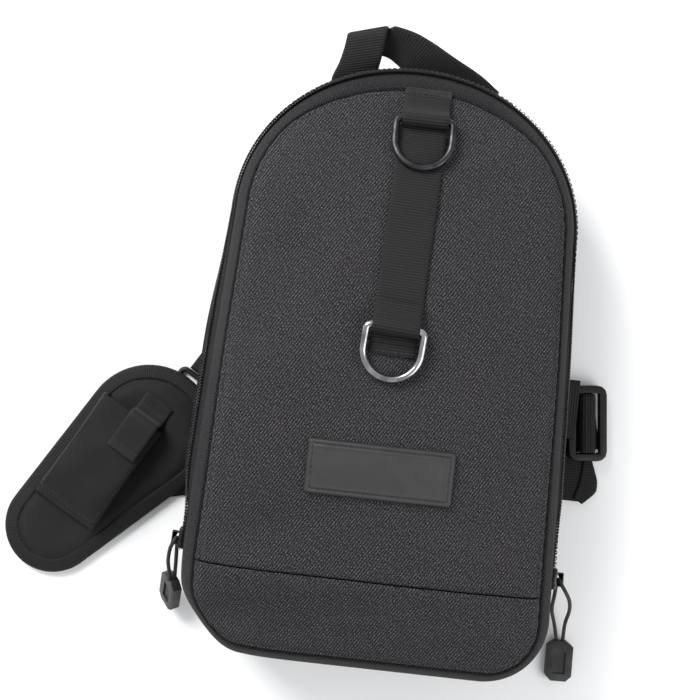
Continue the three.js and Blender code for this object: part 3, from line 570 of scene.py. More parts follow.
# %% Height of the front
crest = smooth_table([0, 0.117, 0.34, 0.584, 0.778, 0.895, 1],
                     [0.87, 0.94, 1, 0.965, 0.85, 0.74, 0.64], 0.045)
rise_table = smooth_table([-0.02, 0, 0.035, 0.1, 0.21, 0.4, 0.68, 1, 1.2],
                          [0.1, 0.2, 0.46, 0.7, 0.86, 0.945, 0.985, 1, 1], 0.018)
dents = [(-0.6, 0.12, 0.13, 0.028), (0.62, -0.14, 0.12, 0.03),
         (-0.55, -0.26, 0.1, 0.022), (0.55, 0.27, 0.1, 0.022)]
folds = [(-86, -150, 26, 13, 18, 5.5), (-30, -151, 62, 11, 0, 3.2), (92, -140, 24, 9, -48, 2.4), (-70, 60, 50, 14, 70, 1.9),
         (70, 30, 56, 12, -74, 2.2), (40, 110, 44, 11, 24, 1.7), (-50, -90, 44, 12, 20, 1.7),
         (66, -84, 50, 11, -12, 2.0), (-20, -138, 44, 9, 4, 1.6), (74, 84, 30, 8, -62, 1.6),
         (-30, 134, 34, 9, -28, 1.3), (88, -30, 40, 9, 82, 1.6)]


def settle(x, y):
    depth = np.zeros_like(x)
    for place_x, place_y, reach, share in dents:
        wide = reach * bag_length
        away = (x - place_x * bottom_half) ** 2 + (y - place_y * bag_length) ** 2
        depth += share * bag_depth * np.exp(-away / (wide * wide * 0.4))
    for place_x, place_y, long, wide, turn, deep in folds:
        angle = math.radians(turn)
        dx, dy = x - place_x, y - place_y
        a = dx * math.cos(angle) + dy * math.sin(angle)
        b = dy * math.cos(angle) - dx * math.sin(angle)
        depth += deep * np.exp(-(a / long) ** 2 - (b / wide) ** 2)
    slow = np.sin(x / 17 + y / 31 + 0.6) + np.sin(x / 29 - y / 15 + 2.1) + np.sin(x / 12 + y / 41)
    return depth + 0.22 * slow


def height_at(x, y, rise):
    top = bag_depth * crest((y - bottom_y) / bag_length)
    return zip_height + (top - zip_height) * rise - settle(x, y) * rise * rise


def front_z(x, y):
    x, y = np.broadcast_arrays(np.asarray(x, float), np.asarray(y, float))
    return height_at(x, y, rise_table(inset_at(x, y) / front_round))


def seam_inset(y):
    return 8 + 4.5 * ease(142, 178, y) + 2.0 * ease(20, -90, y)


print("front at the middle", round(float(front_z(0, 0)), 1), "mm")

# %% [markdown]
# Two panels make the front: a long upper one and a low one that laps over it. A
# panel is a grid of rows across the bag, closer together at its edges, where the
# cloth rolls under into the seam. Small puckers run in from each seam, because
# thread pulls cloth tighter than its weave.

# %% Front panels
def panel(name, low_y, high_y, rows, columns, lip=0.0):
    t = np.linspace(0, 1, rows)
    ys = low_y + (high_y - low_y) * (0.35 * t + 0.65 * (1 - np.cos(np.pi * t)) / 2)
    s = np.linspace(-1, 1, columns)
    shares = 0.45 * s + 0.55 * np.sin(s * np.pi / 2)
    y = np.repeat(ys[:, None], columns, axis=1)
    reach = half_width(ys, seam_inset(ys))
    x = reach[:, None] * shares[None]
    z = front_z(x, y)
    for _ in range(4):
        z[1:-1, 1:-1] = (z[1:-1, 1:-1] * 2 + z[:-2, 1:-1] + z[2:, 1:-1]) / 4
    points = np.stack([x, y, z], axis=-1)
    side_gap = np.minimum(inset_at(x, y) - seam_inset(y), 60)
    seam_gap = np.minimum(np.abs(y - lower_seam_y), 60)
    edge = np.minimum(side_gap, seam_gap)
    roll = -1.2 * np.exp(-(np.maximum(edge, 0) / 0.9) ** 2) + 0.2 * np.exp(-((edge - 4.5) / 3) ** 2)
    pucker = np.sin(y * 2 * np.pi / 8.5 + np.sin(y / 13)) * np.exp(-side_gap / 5)
    pucker += np.sin(x * 2 * np.pi / 9.5 + np.sin(x / 17)) * np.exp(-seam_gap / 5)
    stitched = -0.5 * np.exp(-((side_gap - 3.6) / 0.9) ** 2)
    raised = lip * np.exp(-(seam_gap / 16) ** 2) * ease(0, 4, side_gap)
    points += grid_normals(points) * (roll + 0.22 * pucker + stitched + raised)[..., None]
    weave = np.stack([x, y], axis=-1)
    return wall(grid_piece(name, points, weave, case_twill), 1.2)


front_top_y = top_y - float(seam_inset(top_y)) - 0.2
front_low_y = bottom_y + float(seam_inset(bottom_y)) + 0.2
front_cloth = panel("front_cloth", lower_seam_y + 0.3, front_top_y, 190, 120)
lower_cloth = panel("lower_cloth", front_low_y, lower_seam_y - 0.1, 70, 120, lip=1.1)
keep(front_cloth, "bag", "bag_cloth", "front_panel")

# %% [markdown]
# Rings of points that follow the outline make the strip between the front seam
# and the zip, and the rear wall under the zip. The outline is cut into zones, the
# bottom, the corner, the side and the arch, and each point keeps its zone while it
# moves in or out, so strips of any width line up.

# %% Points round the outline
zone_steps = (("bottom", 34), ("corner", 26), ("side", 100), ("arch", 66))
zones = [(zone, (i + 0.0) / count) for zone, count in zone_steps for i in range(count)]


def rim_half(inset):
    inset = np.broadcast_to(np.asarray(inset, float), (len(zones) + 1,))
    points = []
    for (zone, share), depth in zip(zones + [("arch", 1.0)], inset):
        radius = max(corner_radius - depth, 4)
        low = bottom_y + depth
        if zone == "bottom":
            x = share * (float(half_width(low + radius, depth)) - radius)
            y = low
        elif zone == "corner":
            y = low + radius * (1 - math.cos(share * math.pi / 2))
            x = float(half_width(y + 1e-4, depth))
        elif zone == "side":
            y = low + radius + share * (shoulder_y - low - radius)
            x = float(half_width(y, depth))
        else:
            y = shoulder_y + (arch_rise - depth) * math.sin(share * math.pi / 2) ** (2 / arch_power)
            x = float(half_width(y - 1e-6, depth)) if share < 1 else 0.0
        points.append((x, y))
    return np.array(points)


def rim(inset_of):
    depth = np.full(len(zones) + 1, 0.0)
    right = rim_half(depth)
    for _ in range(3 if callable(inset_of) else 1):
        depth = inset_of(right[:, 1]) if callable(inset_of) else np.full(len(right), float(inset_of))
        right = rim_half(depth)
    left = right[1:-1][::-1] * [-1, 1]
    return np.vstack([right, left])


outline = rim(0)
rim_count = len(outline)
steps_round = np.linalg.norm(np.roll(outline, -1, axis=0) - outline, axis=1)
round_reach = np.concatenate([[0], np.cumsum(steps_round)])
print("outline", round(round_reach[-1]), "mm round,", rim_count, "points")

# %% [markdown]
# The edge strip is the same twill, sewn on so that its slanting lines meet in a
# herringbone. It rolls into the front seam, drops over the edge and ends in a
# folded hem that lies on the zip tape. Below the zip's ends it runs on as cloth.

# %% Edge strip between front seam and zip
def rim_strip(name, rings, weave_across, material, flip=False, thick=1.2, mirror=False):
    points = np.stack(rings)
    across = np.asarray(weave_across, float)
    if mirror:
        across = np.abs(across - band_spine)
    weave = np.stack(np.broadcast_arrays(round_reach[None], across[:, None]), axis=-1)
    return wall(grid_piece(name, points, weave, material, ring=True, flip=flip), thick)


def lifted(flat, z, push=0.0):
    outward = unit(np.roll(flat, -1, axis=0) - np.roll(flat, 1, axis=0))
    out = np.stack([outward[:, 1], -outward[:, 0]], axis=1)
    moved = flat + out * np.asarray(push)[..., None]
    return np.column_stack([moved, np.broadcast_to(z, len(flat))])


zip_share = ease(lower_seam_y - 4, lower_seam_y + 2, outline[:, 1])
left_lean, right_lean = 7.0, 3.4
lean_top = np.where(outline[:, 0] < 0, left_lean, right_lean)
lean_out = lean_top * ease(-104, -60, outline[:, 1]) * (1 - 0.8 * ease(10, 110, outline[:, 1]))
edge_rings = []
edge_places = np.concatenate([[0, 0.4, 1, 1.8, 2.8], np.linspace(4, 24, 16)])
band_width = 24.0
band_spine = 8
for place in edge_places[:15]:
    share = 1 - place / edge_places[14]
    flat = rim(lambda y, s=share: seam_inset(y) * s)
    rise = rise_table(inset_at(flat[:, 0], flat[:, 1]) / front_round) if share > 0 else 0.2
    z = height_at(flat[:, 0], flat[:, 1], rise)
    roll = -1.2 * math.exp(-(place / 0.9) ** 2)
    ripple = 0.3 * np.sin(round_reach[:-1] * 2 * np.pi / 8.5) * math.exp(-place / 4)
    ring_points = lifted(flat, z)
    lift = (roll + ripple)[:, None] if np.ndim(ripple) else roll
    lean = np.clip(share, 0, 1)
    push = lifted(flat, 0, np.ones(rim_count))[:, :2] - flat
    ring_points[:, 2] += lift[:, 0] * (0.55 + 0.45 * lean)
    ring_points[:, :2] += push * (lift * 0.5)
    edge_rings.append(ring_points)
seam_tuck = 1.6
tuck_flat = rim(lambda y: seam_inset(y) + seam_tuck)
tuck_rise = rise_table(inset_at(tuck_flat[:, 0], tuck_flat[:, 1]) / front_round)
edge_rings.insert(0, lifted(tuck_flat, height_at(tuck_flat[:, 0], tuck_flat[:, 1], tuck_rise) - 2 * seam_tuck))
wall_top = edge_rings[-1][:, 2]
hem_low = zip_height + 4.6 * zip_share - 7.0 * (1 - zip_share)
for share, push in ((0.3, 0.1), (0.55, 0.5), (0.75, 0.9), (0.88, 1.2), (0.96, 1.3), (1, 1.1), (1, 0.6)):
    z = wall_top + (hem_low - wall_top) * share
    edge_rings.append(lifted(outline, z, push * zip_share + (lean_out * 0.16 + (1 - zip_share) * 0.9) * share))
edge_across = np.concatenate([[-seam_tuck], edge_places[:15], np.linspace(17, band_width, 7)])
edge_cloth = rim_strip("edge_cloth", edge_rings, edge_across, shaded_edge_twill, flip=True, mirror=True)
keep(edge_cloth, "bag", "bag_cloth")
keep(lower_cloth, "bag", "bag_cloth", "lower_panel")

# %% [markdown]
# Behind the zip the rear wall drops to the table and rounds under into the back.
# The back itself is a soft padded panel. Where the shoulder straps pass under it
# the padding gives way, so the panel is pressed up there by a strap's thickness.

# %% Rear wall and padded back
pad_ring_place = (-115.5, -25)
pad_ring_turn = math.radians(59)
pad_wide = np.array([-149.5, -51.7])
pad_turn = math.radians(50.6)
pad_direction = np.array([math.cos(pad_turn), math.sin(pad_turn)])
strap_width = 38
strap_thickness = 2
upper_direction = np.array([math.cos(pad_ring_turn), math.sin(pad_ring_turn)])
adjuster_place = np.array([133, -15.5])
strap_ends = {
    "upper": (np.array(pad_ring_place) + upper_direction * 8.3, np.array(pad_ring_place) + upper_direction * 202),
    "lower": (pad_wide - pad_direction * 41.8, adjuster_place - [4, 0]),
}


def over_straps(x, y, margin=4.0):
    press = np.zeros_like(np.asarray(x, float))
    for start, end in strap_ends.values():
        forward = (end - start) / np.linalg.norm(end - start)
        dx, dy = x - start[0], y - start[1]
        a = dx * forward[0] + dy * forward[1]
        b = np.abs(dy * forward[0] - dx * forward[1])
        outside = np.maximum(np.maximum(-a, a - np.linalg.norm(end - start)), b - strap_width / 2)
        press = np.maximum(press, 1 - ease(0, margin, outside))
    return press


rear_profile = spline([(0, 43.2), (0, 38.4), (0.02 * 26, 30.7), (0.12 * 26, 17.3), (0.32 * 26, 7.7),
                       (0.6 * 26, 2.4), (22, 0.75), (26, 0.5)], 30)
rear_rings = []
for depth, z in rear_profile:
    flat = rim(depth)
    x, y = flat[:, 0], flat[:, 1]
    low = np.maximum(z, 2.7 * over_straps(x, y))
    wobble = 0.7 * np.sin(round_reach[:-1] / 23) * math.sin(math.pi * min(z, 43) / 43)
    hem = 1.6 * zip_share * math.exp(-((z - 41) / 3.2) ** 2) - 0.8 * math.exp(-((z - 24) / 1.1) ** 2)
    rear_rings.append(lifted(flat, low, np.full(rim_count, hem) + wobble + lean_out * float(ease(4, 36, z))))
rear_cloth = rim_strip("rear_cloth", rear_rings, np.linspace(0, 62, len(rear_rings)), shaded_edge_twill, flip=True)
back_rings = []
for depth in np.concatenate([[26, 26.4, 27.2, 28.4, 30], np.linspace(34, 74, 14)]):
    flat = rim(depth)
    channel = 1.6 * math.exp(-((depth - 26.4) / 1.2) ** 2) + 1.3 * math.exp(-((depth - 50) / 2.0) ** 2)
    back_rings.append(lifted(flat, 0.3 + np.maximum(channel, 2.4 * over_straps(flat[:, 0], flat[:, 1]))))
back_cloth = rim_strip("back_cloth", back_rings, np.linspace(0, 48, len(back_rings)), back_mesh, flip=True)
keep(rear_cloth, "bag", "bag_cloth", "rear_shell")
keep(back_cloth, "bag", "bag_cloth")

# %% [markdown]
# The rings stop short of the middle of the back. One more grid, row by row, fills
# that last lens of cloth, a little above the table as the rest is.

# %% Middle of the back
hole = rim(72)
back_rows = np.linspace(hole[:, 1].min() + 0.3, hole[:, 1].max() - 0.3, 60)
fill_y = np.repeat(back_rows[:, None], 21, axis=1)
fill_x = half_width(back_rows, 71)[:, None] * np.linspace(1, -1, 21)[None]
fill_z = 0.45 + 2.4 * over_straps(fill_x, fill_y)
back_middle = wall(grid_piece("back_middle", np.stack([fill_x, fill_y, fill_z], axis=-1),
                              np.stack([fill_x, fill_y], axis=-1), back_mesh), 1.2)
keep(back_middle, "bag", "bag_cloth")

# %% [markdown]
# The empty lower left corner has caved in. Every cloth piece there is drawn inwards
# and down by the same soft push, strongest at the corner itself.

# %% Caved corner
cave_x, cave_y = -118, -176
cave_reach = 34
cave_push = np.array([7.0, 7.0, -5.0])


def cave_in(piece):
    spots = np.array([vertex.co for vertex in piece.data.vertices]) / MM
    away = ((spots[:, 0] - cave_x) ** 2 + (spots[:, 1] - cave_y) ** 2) / cave_reach ** 2
    share = np.exp(-away) * np.clip(spots[:, 2] / 40, 0, 1)
    spots += share[:, None] * cave_push
    piece.data.vertices.foreach_set("co", (spots * MM).ravel())
    piece.data.update()


for piece in (front_cloth, lower_cloth, edge_cloth, rear_cloth):
    cave_in(piece)
print("corner drawn in by up to", round(float(np.linalg.norm(cave_push[:2])), 1), "mm")

# %% [markdown]
# A zip is two tapes with a coil of nylon teeth on each. The tape is one strip that
# follows the outline from one slider over the top to the other.

# %% Zip tape
tape_out = 1.1
right_start = int(np.argmax(outline[:rim_count // 2, 1] > lower_seam_y))
zip_order = np.arange(right_start, rim_count - right_start + 1)
zip_line = outline[zip_order]
tape_rings = []
for push, z in ((0.35, 41), (0.9, 40.6), (1.1, 41.4), (1.15, 44), (1.15, 48), (1.15, 52), (1.1, 54.6),
                (0.9, 55.4), (0.35, 55), (0.3, 48)):
    tape_rings.append(lifted(outline, z, push + lean_out * (55.4 - z) / 14.4)[zip_order])
tape_points = np.stack(tape_rings, axis=1)
tape_reach = np.concatenate([[0], np.cumsum(np.linalg.norm(np.diff(zip_line, axis=0), axis=1))])
tape_across = np.array([0, 1, 2, 4.5, 8.5, 12.5, 15, 16, 17, 24, 31])
tape_weave = np.stack(np.broadcast_arrays(tape_reach[:, None], tape_across[None]), axis=-1)
zip_tape = grid_piece("zip_tape_cloth", tape_points, tape_weave, zip_tape_cloth, ring=True, ends=True)
keep(zip_tape, "bag", "zip_cloth", "zip_tape")

# %% [markdown]
# The teeth repeat hundreds of times along one line, which is work for Geometry
# Nodes. The tree turns a line of points into a curve, cuts it at the tooth pitch
# and sets a short rounded bar at every cut. Two such rows, half a pitch apart,
# interlock. The same tree sews the stitches later, with a thread in place of teeth.

# %% Tree that repeats a bar along a line
def bar_tree(name):
    tree = bpy.data.node_groups.new(name, "GeometryNodeTree")
    face = tree.interface
    face.new_socket("Geometry", in_out="INPUT", socket_type="NodeSocketGeometry")
    for title, value in (("Pitch", 3.4 * MM), ("Phase", 0.0)):
        face.new_socket(title, in_out="INPUT", socket_type="NodeSocketFloat").default_value = value
    face.new_socket("Bar size", in_out="INPUT", socket_type="NodeSocketVector")
    face.new_socket("Shift", in_out="INPUT", socket_type="NodeSocketVector")
    face.new_socket("Finish", in_out="INPUT", socket_type="NodeSocketMaterial")
    face.new_socket("Geometry", in_out="OUTPUT", socket_type="NodeSocketGeometry")
    source = tree.nodes.new("NodeGroupInput").outputs
    curve = node(tree, "GeometryNodeMeshToCurve", {0: source["Geometry"]})
    cut = node(tree, "GeometryNodeResampleCurve", {"Curve": curve.outputs[0]}, mode="LENGTH")
    tree.links.new(source["Pitch"], cut.inputs["Length"])
    tangent = node(tree, "GeometryNodeInputTangent")
    turn = node(tree, "FunctionNodeAlignRotationToVector", {"Vector": tangent.outputs[0]}, axis="X")
    ball = node(tree, "GeometryNodeMeshUVSphere", {"Segments": 8, "Rings": 5, "Radius": 0.5})
    bar = node(tree, "GeometryNodeTransform", {"Geometry": ball.outputs[0], "Scale": source["Bar size"]})
    along = node(tree, "ShaderNodeVectorMath", {0: tangent.outputs[0]}, operation="SCALE")
    tree.links.new(source["Phase"], along.inputs["Scale"])
    moved = node(tree, "ShaderNodeVectorMath", {0: along.outputs[0], 1: source["Shift"]}, operation="ADD")
    placed = node(tree, "GeometryNodeSetPosition", {
        "Geometry": cut.outputs[0], "Offset": moved.outputs[0]})
    bars = node(tree, "GeometryNodeInstanceOnPoints", {
        "Points": placed.outputs[0], "Instance": bar.outputs[0], "Rotation": turn.outputs[0]})
    real = node(tree, "GeometryNodeRealizeInstances", {0: bars.outputs[0]})
    smooth = node(tree, "GeometryNodeSetShadeSmooth", {0: real.outputs[0]})
    dressed = node(tree, "GeometryNodeSetMaterial", {
        "Geometry": smooth.outputs[0], "Material": source["Finish"]})
    node(tree, "NodeGroupOutput", {0: dressed.outputs[0]})
    return tree


bars_on_line = bar_tree("bars_on_line")


def repeat_bars(name, lines, material, pitch, size, shift=(0, 0, 0), phase=0.0):
    vertices = []
    edges = []
    for line in lines:
        first = len(vertices)
        vertices.extend(tuple(np.asarray(point) * MM) for point in line)
        edges.extend((first + i, first + i + 1) for i in range(len(line) - 1))
    mesh = bpy.data.meshes.new(name + "_line")
    mesh.from_pydata(vertices, edges, [])
    source = bpy.data.objects.new(name + "_line", mesh)
    bpy.context.scene.collection.objects.link(source)
    modifier = source.modifiers.new("bars", "NODES")
    modifier.node_group = bars_on_line
    values = {"Pitch": pitch * MM, "Phase": phase * MM, "Bar size": [v * MM for v in size],
              "Shift": [v * MM for v in shift], "Finish": material}
    for item in bars_on_line.interface.items_tree:
        if item.in_out == "INPUT" and item.name in values:
            modifier[item.identifier] = values[item.name]
    bpy.context.view_layer.update()
    seen = source.evaluated_get(bpy.context.evaluated_depsgraph_get())
    made = bpy.data.objects.new(name, bpy.data.meshes.new_from_object(seen))
    bpy.context.scene.collection.objects.link(made)
    bpy.data.objects.remove(source)
    return made


def joined(name, *parts):
    with bpy.context.temp_override(active_object=parts[0], object=parts[0],
                                   selected_objects=list(parts), selected_editable_objects=list(parts)):
        bpy.ops.object.join()
    parts[0].name = name
    return parts[0]


tooth_pitch = 1.9
slider_top = -112 + 6.5 + 0.3
tooth_rows = []
for row_name, z, phase in (("upper_teeth", 49.3, 0.0), ("lower_teeth", 46.9, tooth_pitch / 2)):
    tooth_line = lifted(outline, z, 2.2 + lean_out * (55.4 - z) / 14.4)[zip_order]
    tooth_line = tooth_line[tooth_line[:, 1] > slider_top]
    tooth_rows.append(repeat_bars(row_name, [tooth_line], nylon_coil, tooth_pitch, (1.3, 1.7, 3.0), phase=phase))
zip_teeth = joined("zip_teeth_coil", *tooth_rows)
keep(zip_teeth, "bag", "zip_teeth", "zip_chain")

# %% [markdown]
# Flat tape is woven with rounded edges. A band takes the middle line of such a tape
# and the way its width points, and lays a rounded strip along it. All the webbing
# on the bag is made with this one function.

# %% Bands of webbing
def band(name, centres, wides, width, thickness, material, cells=16, ripple=0.0, skewed=False):
    centres = np.array(centres, float)
    wides = np.broadcast_to(np.array(wides, float), centres.shape)
    widths = np.broadcast_to(np.asarray(width, float), (len(centres),))
    forward = unit(np.gradient(centres, axis=0))
    wide = unit(wides if skewed else wides - forward * (wides * forward).sum(axis=1, keepdims=True))
    up = unit(np.cross(forward, wide))
    top = np.linspace(-1, 1, cells)
    rounded = np.sqrt(np.clip(1 - np.abs(top) ** 12, 0, 1))
    half_thick = thickness / 2 * np.maximum(rounded, 0.3)
    section_x = np.concatenate([top, top[::-1]])
    section_z = np.concatenate([half_thick, -half_thick[::-1]])
    reach = np.concatenate([[0], np.cumsum(np.linalg.norm(np.diff(centres, axis=0), axis=1))])
    lift = ripple * np.sin(reach * 2 * np.pi / 31)[:, None] * np.cos(section_x * 2.2)[None]
    points = (centres[:, None] + wide[:, None] * (section_x[None] * widths[:, None] / 2)[..., None]
              + up[:, None] * (section_z[None] + lift)[..., None])
    across = np.append(section_x * widths.max() / 2, section_x[0] * widths.max() / 2)
    weave = np.stack(np.broadcast_arrays(reach[:, None], across[None]), axis=-1)
    return grid_piece(name, points, weave, material, ring=True, ends=True, flip=True)


def flat_lines(start, end, steps=40):
    return np.array(start)[None] + (np.array(end) - start)[None] * np.linspace(0, 1, steps)[:, None]


webbing_width = 28.5
webbing_thickness = 1.6
webbing_top_y = top_y - 12


def webbing_x(y):
    return 5.4 * (y - 30.5) / (webbing_top_y - 30.5)


def over_front(xs, ys, lift):
    xs, ys = np.asarray(xs, float), np.asarray(ys, float)
    return np.column_stack([xs, ys, front_z(xs, ys) + lift])


web_ys = np.linspace(21, webbing_top_y + 0.5, 150)
web_centres = over_front(webbing_x(web_ys), web_ys, 1.0 + webbing_thickness / 2)
web_centres[-6:, 2] -= np.linspace(0, 2.2, 6)
front_web = band("front_webbing_tape", web_centres, (1, 0, 0), webbing_width, webbing_thickness,
                 webbing_cloth, 24, 0.12)
keep(front_web, "bag", "webbing", "front_webbing")

# %% [markdown]
# Each D-ring hangs in a keeper, a short length of the same tape folded round the ring's bar and sewn down. The ring's
# place comes from its joint and the way its bar runs is given, so the ring turns about its own bar. How far it leans
# is read off the plain ring.

# %% D-rings and keepers
ring_wire = 4.4
ring_width = 38.4 - ring_wire
ring_reach = 34.5 - ring_wire
joints = {joint["name"]: joint for joint in frame["record"]["behaviour"]["joints"]}


def ring_line():
    half = ring_width / 2
    turn = 3.2
    straight = ring_reach - half
    points = [(0, 0)] + [(x, 0) for x in np.linspace(3, half - turn, 5)]
    points += [(half - turn + turn * math.sin(a), -turn + turn * math.cos(a))
               for a in np.linspace(0.3, math.pi / 2, 6)]
    points += [(half, y) for y in np.linspace(-turn - 1.5, -straight + 1.5, 5)]
    points += [(half * math.cos(a), -straight - half * math.sin(a)) for a in np.linspace(0, math.pi / 2, 22)]
    points = np.array(points)
    left = points[1:-1][::-1] * [-1, 1]
    flat = np.vstack([points, left])
    return np.column_stack([flat, np.zeros(len(flat))])


# The lower ring's finish is the upper ring's wire with a painted highlight.
for name, finish, y, turn in (("upper", black_nickel, 156, 0.0), ("lower", painted_highlight_nickel, 30.5, math.radians(-3.5))):
    joint = joints[f"{name}_ring_swing"]
    pivot = np.array(joint["pos_m"]) / MM
    bar_way = np.array([math.cos(turn), math.sin(turn), 0])
    plain = frame["nodes"][f"d_ring_{name}"]
    spots = np.array([plain.matrix_world @ v.co for v in plain.data.vertices]) / MM
    bow = spots.mean(axis=0) - pivot
    bow = unit(bow - bar_way * bow.dot(bar_way))
    basis = np.array([bar_way, -bow, np.cross(bar_way, -bow)])
    line = ring_line() @ basis + pivot
    ring = tube(f"d_ring_{name}_wire", line, ring_wire / 2, finish, 18, closed=True)
    keep(ring, f"ring_{name}", "ring_metal", f"d_ring_{name}")

    slope = math.atan(float(front_z(webbing_x(y), y + 6) - front_z(webbing_x(y), y - 6)) / 12)
    up_bag = np.array([-math.sin(turn) * math.cos(slope), math.cos(turn) * math.cos(slope), math.sin(slope)])
    off_bag = np.cross(bar_way, up_bag)
    fold = spline([(15.5, -3.0), (11, -2.4), (6.4, -0.4), (3.2, 2.2), (0.4, 3.5), (-2.4, 2.6), (-3.55, 0),
                   (-2.6, -2.5), (0.2, -3.5), (5, -3.6), (9, -3.6)], 60)
    centres = pivot + fold[:, :1] * up_bag + fold[:, 1:] * off_bag
    keeper = band(f"ring_keeper_{name}_tape", centres, bar_way, 27.9, 1.5, webbing_cloth, 20)
    keep(keeper, "bag", "webbing", f"ring_keeper_{name}")

# %% [markdown]
# Under the lower ring a second layer of tape ends in a folded edge with a row of
# thread. It lies between the keeper and the cloth and shows inside the ring.

# %% Second layer under the lower ring
under_ys = np.linspace(14.5, 26, 24)
under_centres = over_front(webbing_x(under_ys), under_ys, 1.1)
under_web = band("front_webbing_end", under_centres, (1, 0, 0), webbing_width - 1, 1.5, webbing_cloth, 20)
keep(under_web, "bag", "webbing")

# %% [markdown]
# The badge is moulded rubber with a raised rim and a groove that takes the thread.
# Its field is left plain. A grid over its face drops at the rim and in the groove.

# %% Rubber badge
badge_width = 86.5
badge_height = 32.5
badge_y = -54
badge_thickness = 2.4


def edge_steps(half, count):
    near = half - np.array([0, 0.25, 0.6, 1.1, 2.3, 2.7, 3.1, 3.5, 4.0, 4.6])
    inner = np.linspace(0, half - 5.4, count)
    places = np.unique(np.concatenate([inner, near]))
    return np.concatenate([-places[::-1][:-1], places]) if places[0] == 0 else np.concatenate([-places[::-1], places])


badge_xs = edge_steps(badge_width / 2, 26)
badge_ys = edge_steps(badge_height / 2, 10)
bx, by = np.meshgrid(badge_xs, badge_ys)
corner = 3.0
qx = np.maximum(np.abs(bx) - (badge_width / 2 - corner), 0)
qy = np.maximum(np.abs(by) - (badge_height / 2 - corner), 0)
in_from_edge = np.minimum(badge_width / 2 - np.abs(bx), badge_height / 2 - np.abs(by))
pull_in = np.where((qx > 0) & (qy > 0), np.minimum(corner / np.maximum(np.hypot(qx, qy), 1e-6), 1), 1)
px = np.sign(bx) * (np.minimum(np.abs(bx), badge_width / 2 - corner) + qx * pull_in)
py = np.sign(by) * (np.minimum(np.abs(by), badge_height / 2 - corner) + qy * pull_in)
relief = badge_thickness * ease(-0.3, 1.1, in_from_edge) - 0.75 * np.exp(-((in_from_edge - 3.1) / 0.55) ** 2)
relief -= 0.35 * ease(4.2, 5.2, in_from_edge)
bz = front_z(px, badge_y + py) + 0.5 + relief
badge_points = np.stack([px, badge_y + py, bz], axis=-1)
badge = wall(grid_piece("rubber_badge", badge_points, badge_points[..., :2], pvc_rubber), 1.2)
keep(badge, "bag", "patch_rubber", "rubber_patch")

# %% [markdown]
# The carry handle is tape that rises from the top seam, folds over at its highest
# point and comes down again beneath itself. Each row of numbers is a place on its
# middle line and half of its width there, and rows near the fold lie along it.

# %% Carry handle
handle_rows = [
    (-42, 176, 31, 14, 1.5, 0), (-41, 187, 35.5, 14, 2.6, 0), (-38.5, 196, 39, 13.2, 2.9, 1.5),
    (-37, 204, 41.5, 12.6, 2.9, 2), (-36, 211.5, 43, 12.4, 2.9, 2.4), (-35.7, 214.4, 41.2, 12.3, 3.2, 2),
    (-34, 212.5, 38, 11.5, 5.2, 1), (-28, 211, 35, 7.5, 8, 3.5), (-20.5, 210.3, 35.6, 2.2, 8.3, 7),
    (-11, 206.8, 37, 4.5, 9, 7), (-3.5, 202.8, 37.5, 6.8, 8.8, 7), (13.4, 195.6, 36.5, 7.1, 7, 7),
    (30, 188, 33.5, 8, 6.5, 5), (43, 179, 29.5, 8, 8, 2)]
handle_line = spline(handle_rows, 150)
handle_widths = 2 * np.linalg.norm(handle_line[:, 3:], axis=1)
handle = band("handle_tape", handle_line[:, :3], handle_line[:, 3:], handle_widths, 2.2, webbing_cloth, 24,
              skewed=True)
keep(handle, "bag", "webbing", "carry_handle")

# %% [markdown]
# Two flat straps lie under the bag, and their ends show at its sides.

# %% Straps under the bag
under_adjuster = 11
for name, (start, end) in strap_ends.items():
    forward = (end - start) / np.linalg.norm(end - start)
    line = flat_lines(start, end + forward * (under_adjuster if name == "lower" else 0), 60)
    centres = np.column_stack([line, np.full(60, strap_thickness / 2 + 0.05)])
    strap = band(f"strap_{name}_tape", centres, (-forward[1], forward[0], 0), strap_width,
                 strap_thickness - 0.2, webbing_cloth, 18)
    keep(strap, "bag", "webbing", f"strap_{name}")

# %% [markdown]
# The adjuster is a moulded frame with a bar. The plain model has its true form, so
# a copy of it is welded and its edges are rounded, as a mould leaves them.

# %% Rounded copies of hard pieces
def rounded_copy(name, node_name, material, radius, segments=3, angle=30):
    plain = frame["nodes"][node_name]
    mesh = plain.data.copy()
    mesh.name = name
    mesh.transform(plain.matrix_world)
    made = bpy.data.objects.new(name, mesh)
    bpy.context.scene.collection.objects.link(made)
    import bmesh
    work = bmesh.new()
    work.from_mesh(mesh)
    bmesh.ops.remove_doubles(work, verts=work.verts, dist=2e-5)
    bmesh.ops.dissolve_limit(work, angle_limit=math.radians(3), verts=work.verts, edges=work.edges)
    work.to_mesh(mesh)
    work.free()
    mesh.materials.clear()
    mesh.materials.append(material)
    for polygon in mesh.polygons:
        polygon.material_index = 0
        polygon.use_smooth = True
    bevel = made.modifiers.new("edges", "BEVEL")
    bevel.width = radius * MM
    bevel.segments = segments
    bevel.limit_method = "ANGLE"
    bevel.angle_limit = math.radians(angle)
    bevel.use_clamp_overlap = True
    bevel.harden_normals = True
    return made


adjuster = rounded_copy("adjuster_frame", "strap_adjuster", acetal, 1.0)
keep(adjuster, "bag", "buckle_plastic", "strap_adjuster")
for side_name in ("right", "left"):
    slider = rounded_copy(f"slider_{side_name}_body", f"zip_slider_{side_name}", painted_zinc, 0.7)
    keep(slider, "bag", "slider_paint", f"zip_slider_{side_name}")
    tag = rounded_copy(f"pull_tag_{side_name}", f"zip_pull_{side_name}", pull_vinyl, 1.0)
    keep(tag, "bag", "pull_plastic", f"zip_pull_{side_name}")
    cord, line, length = cords[side_name]
    keep(cord, "bag", "pull_cord", f"zip_cord_{side_name}")

# %% [markdown]
# Webbing wraps the adjuster's bar, a short tab of it comes from behind the bag and
# the tail is folded back on itself below, with one corner turned to a triangle.

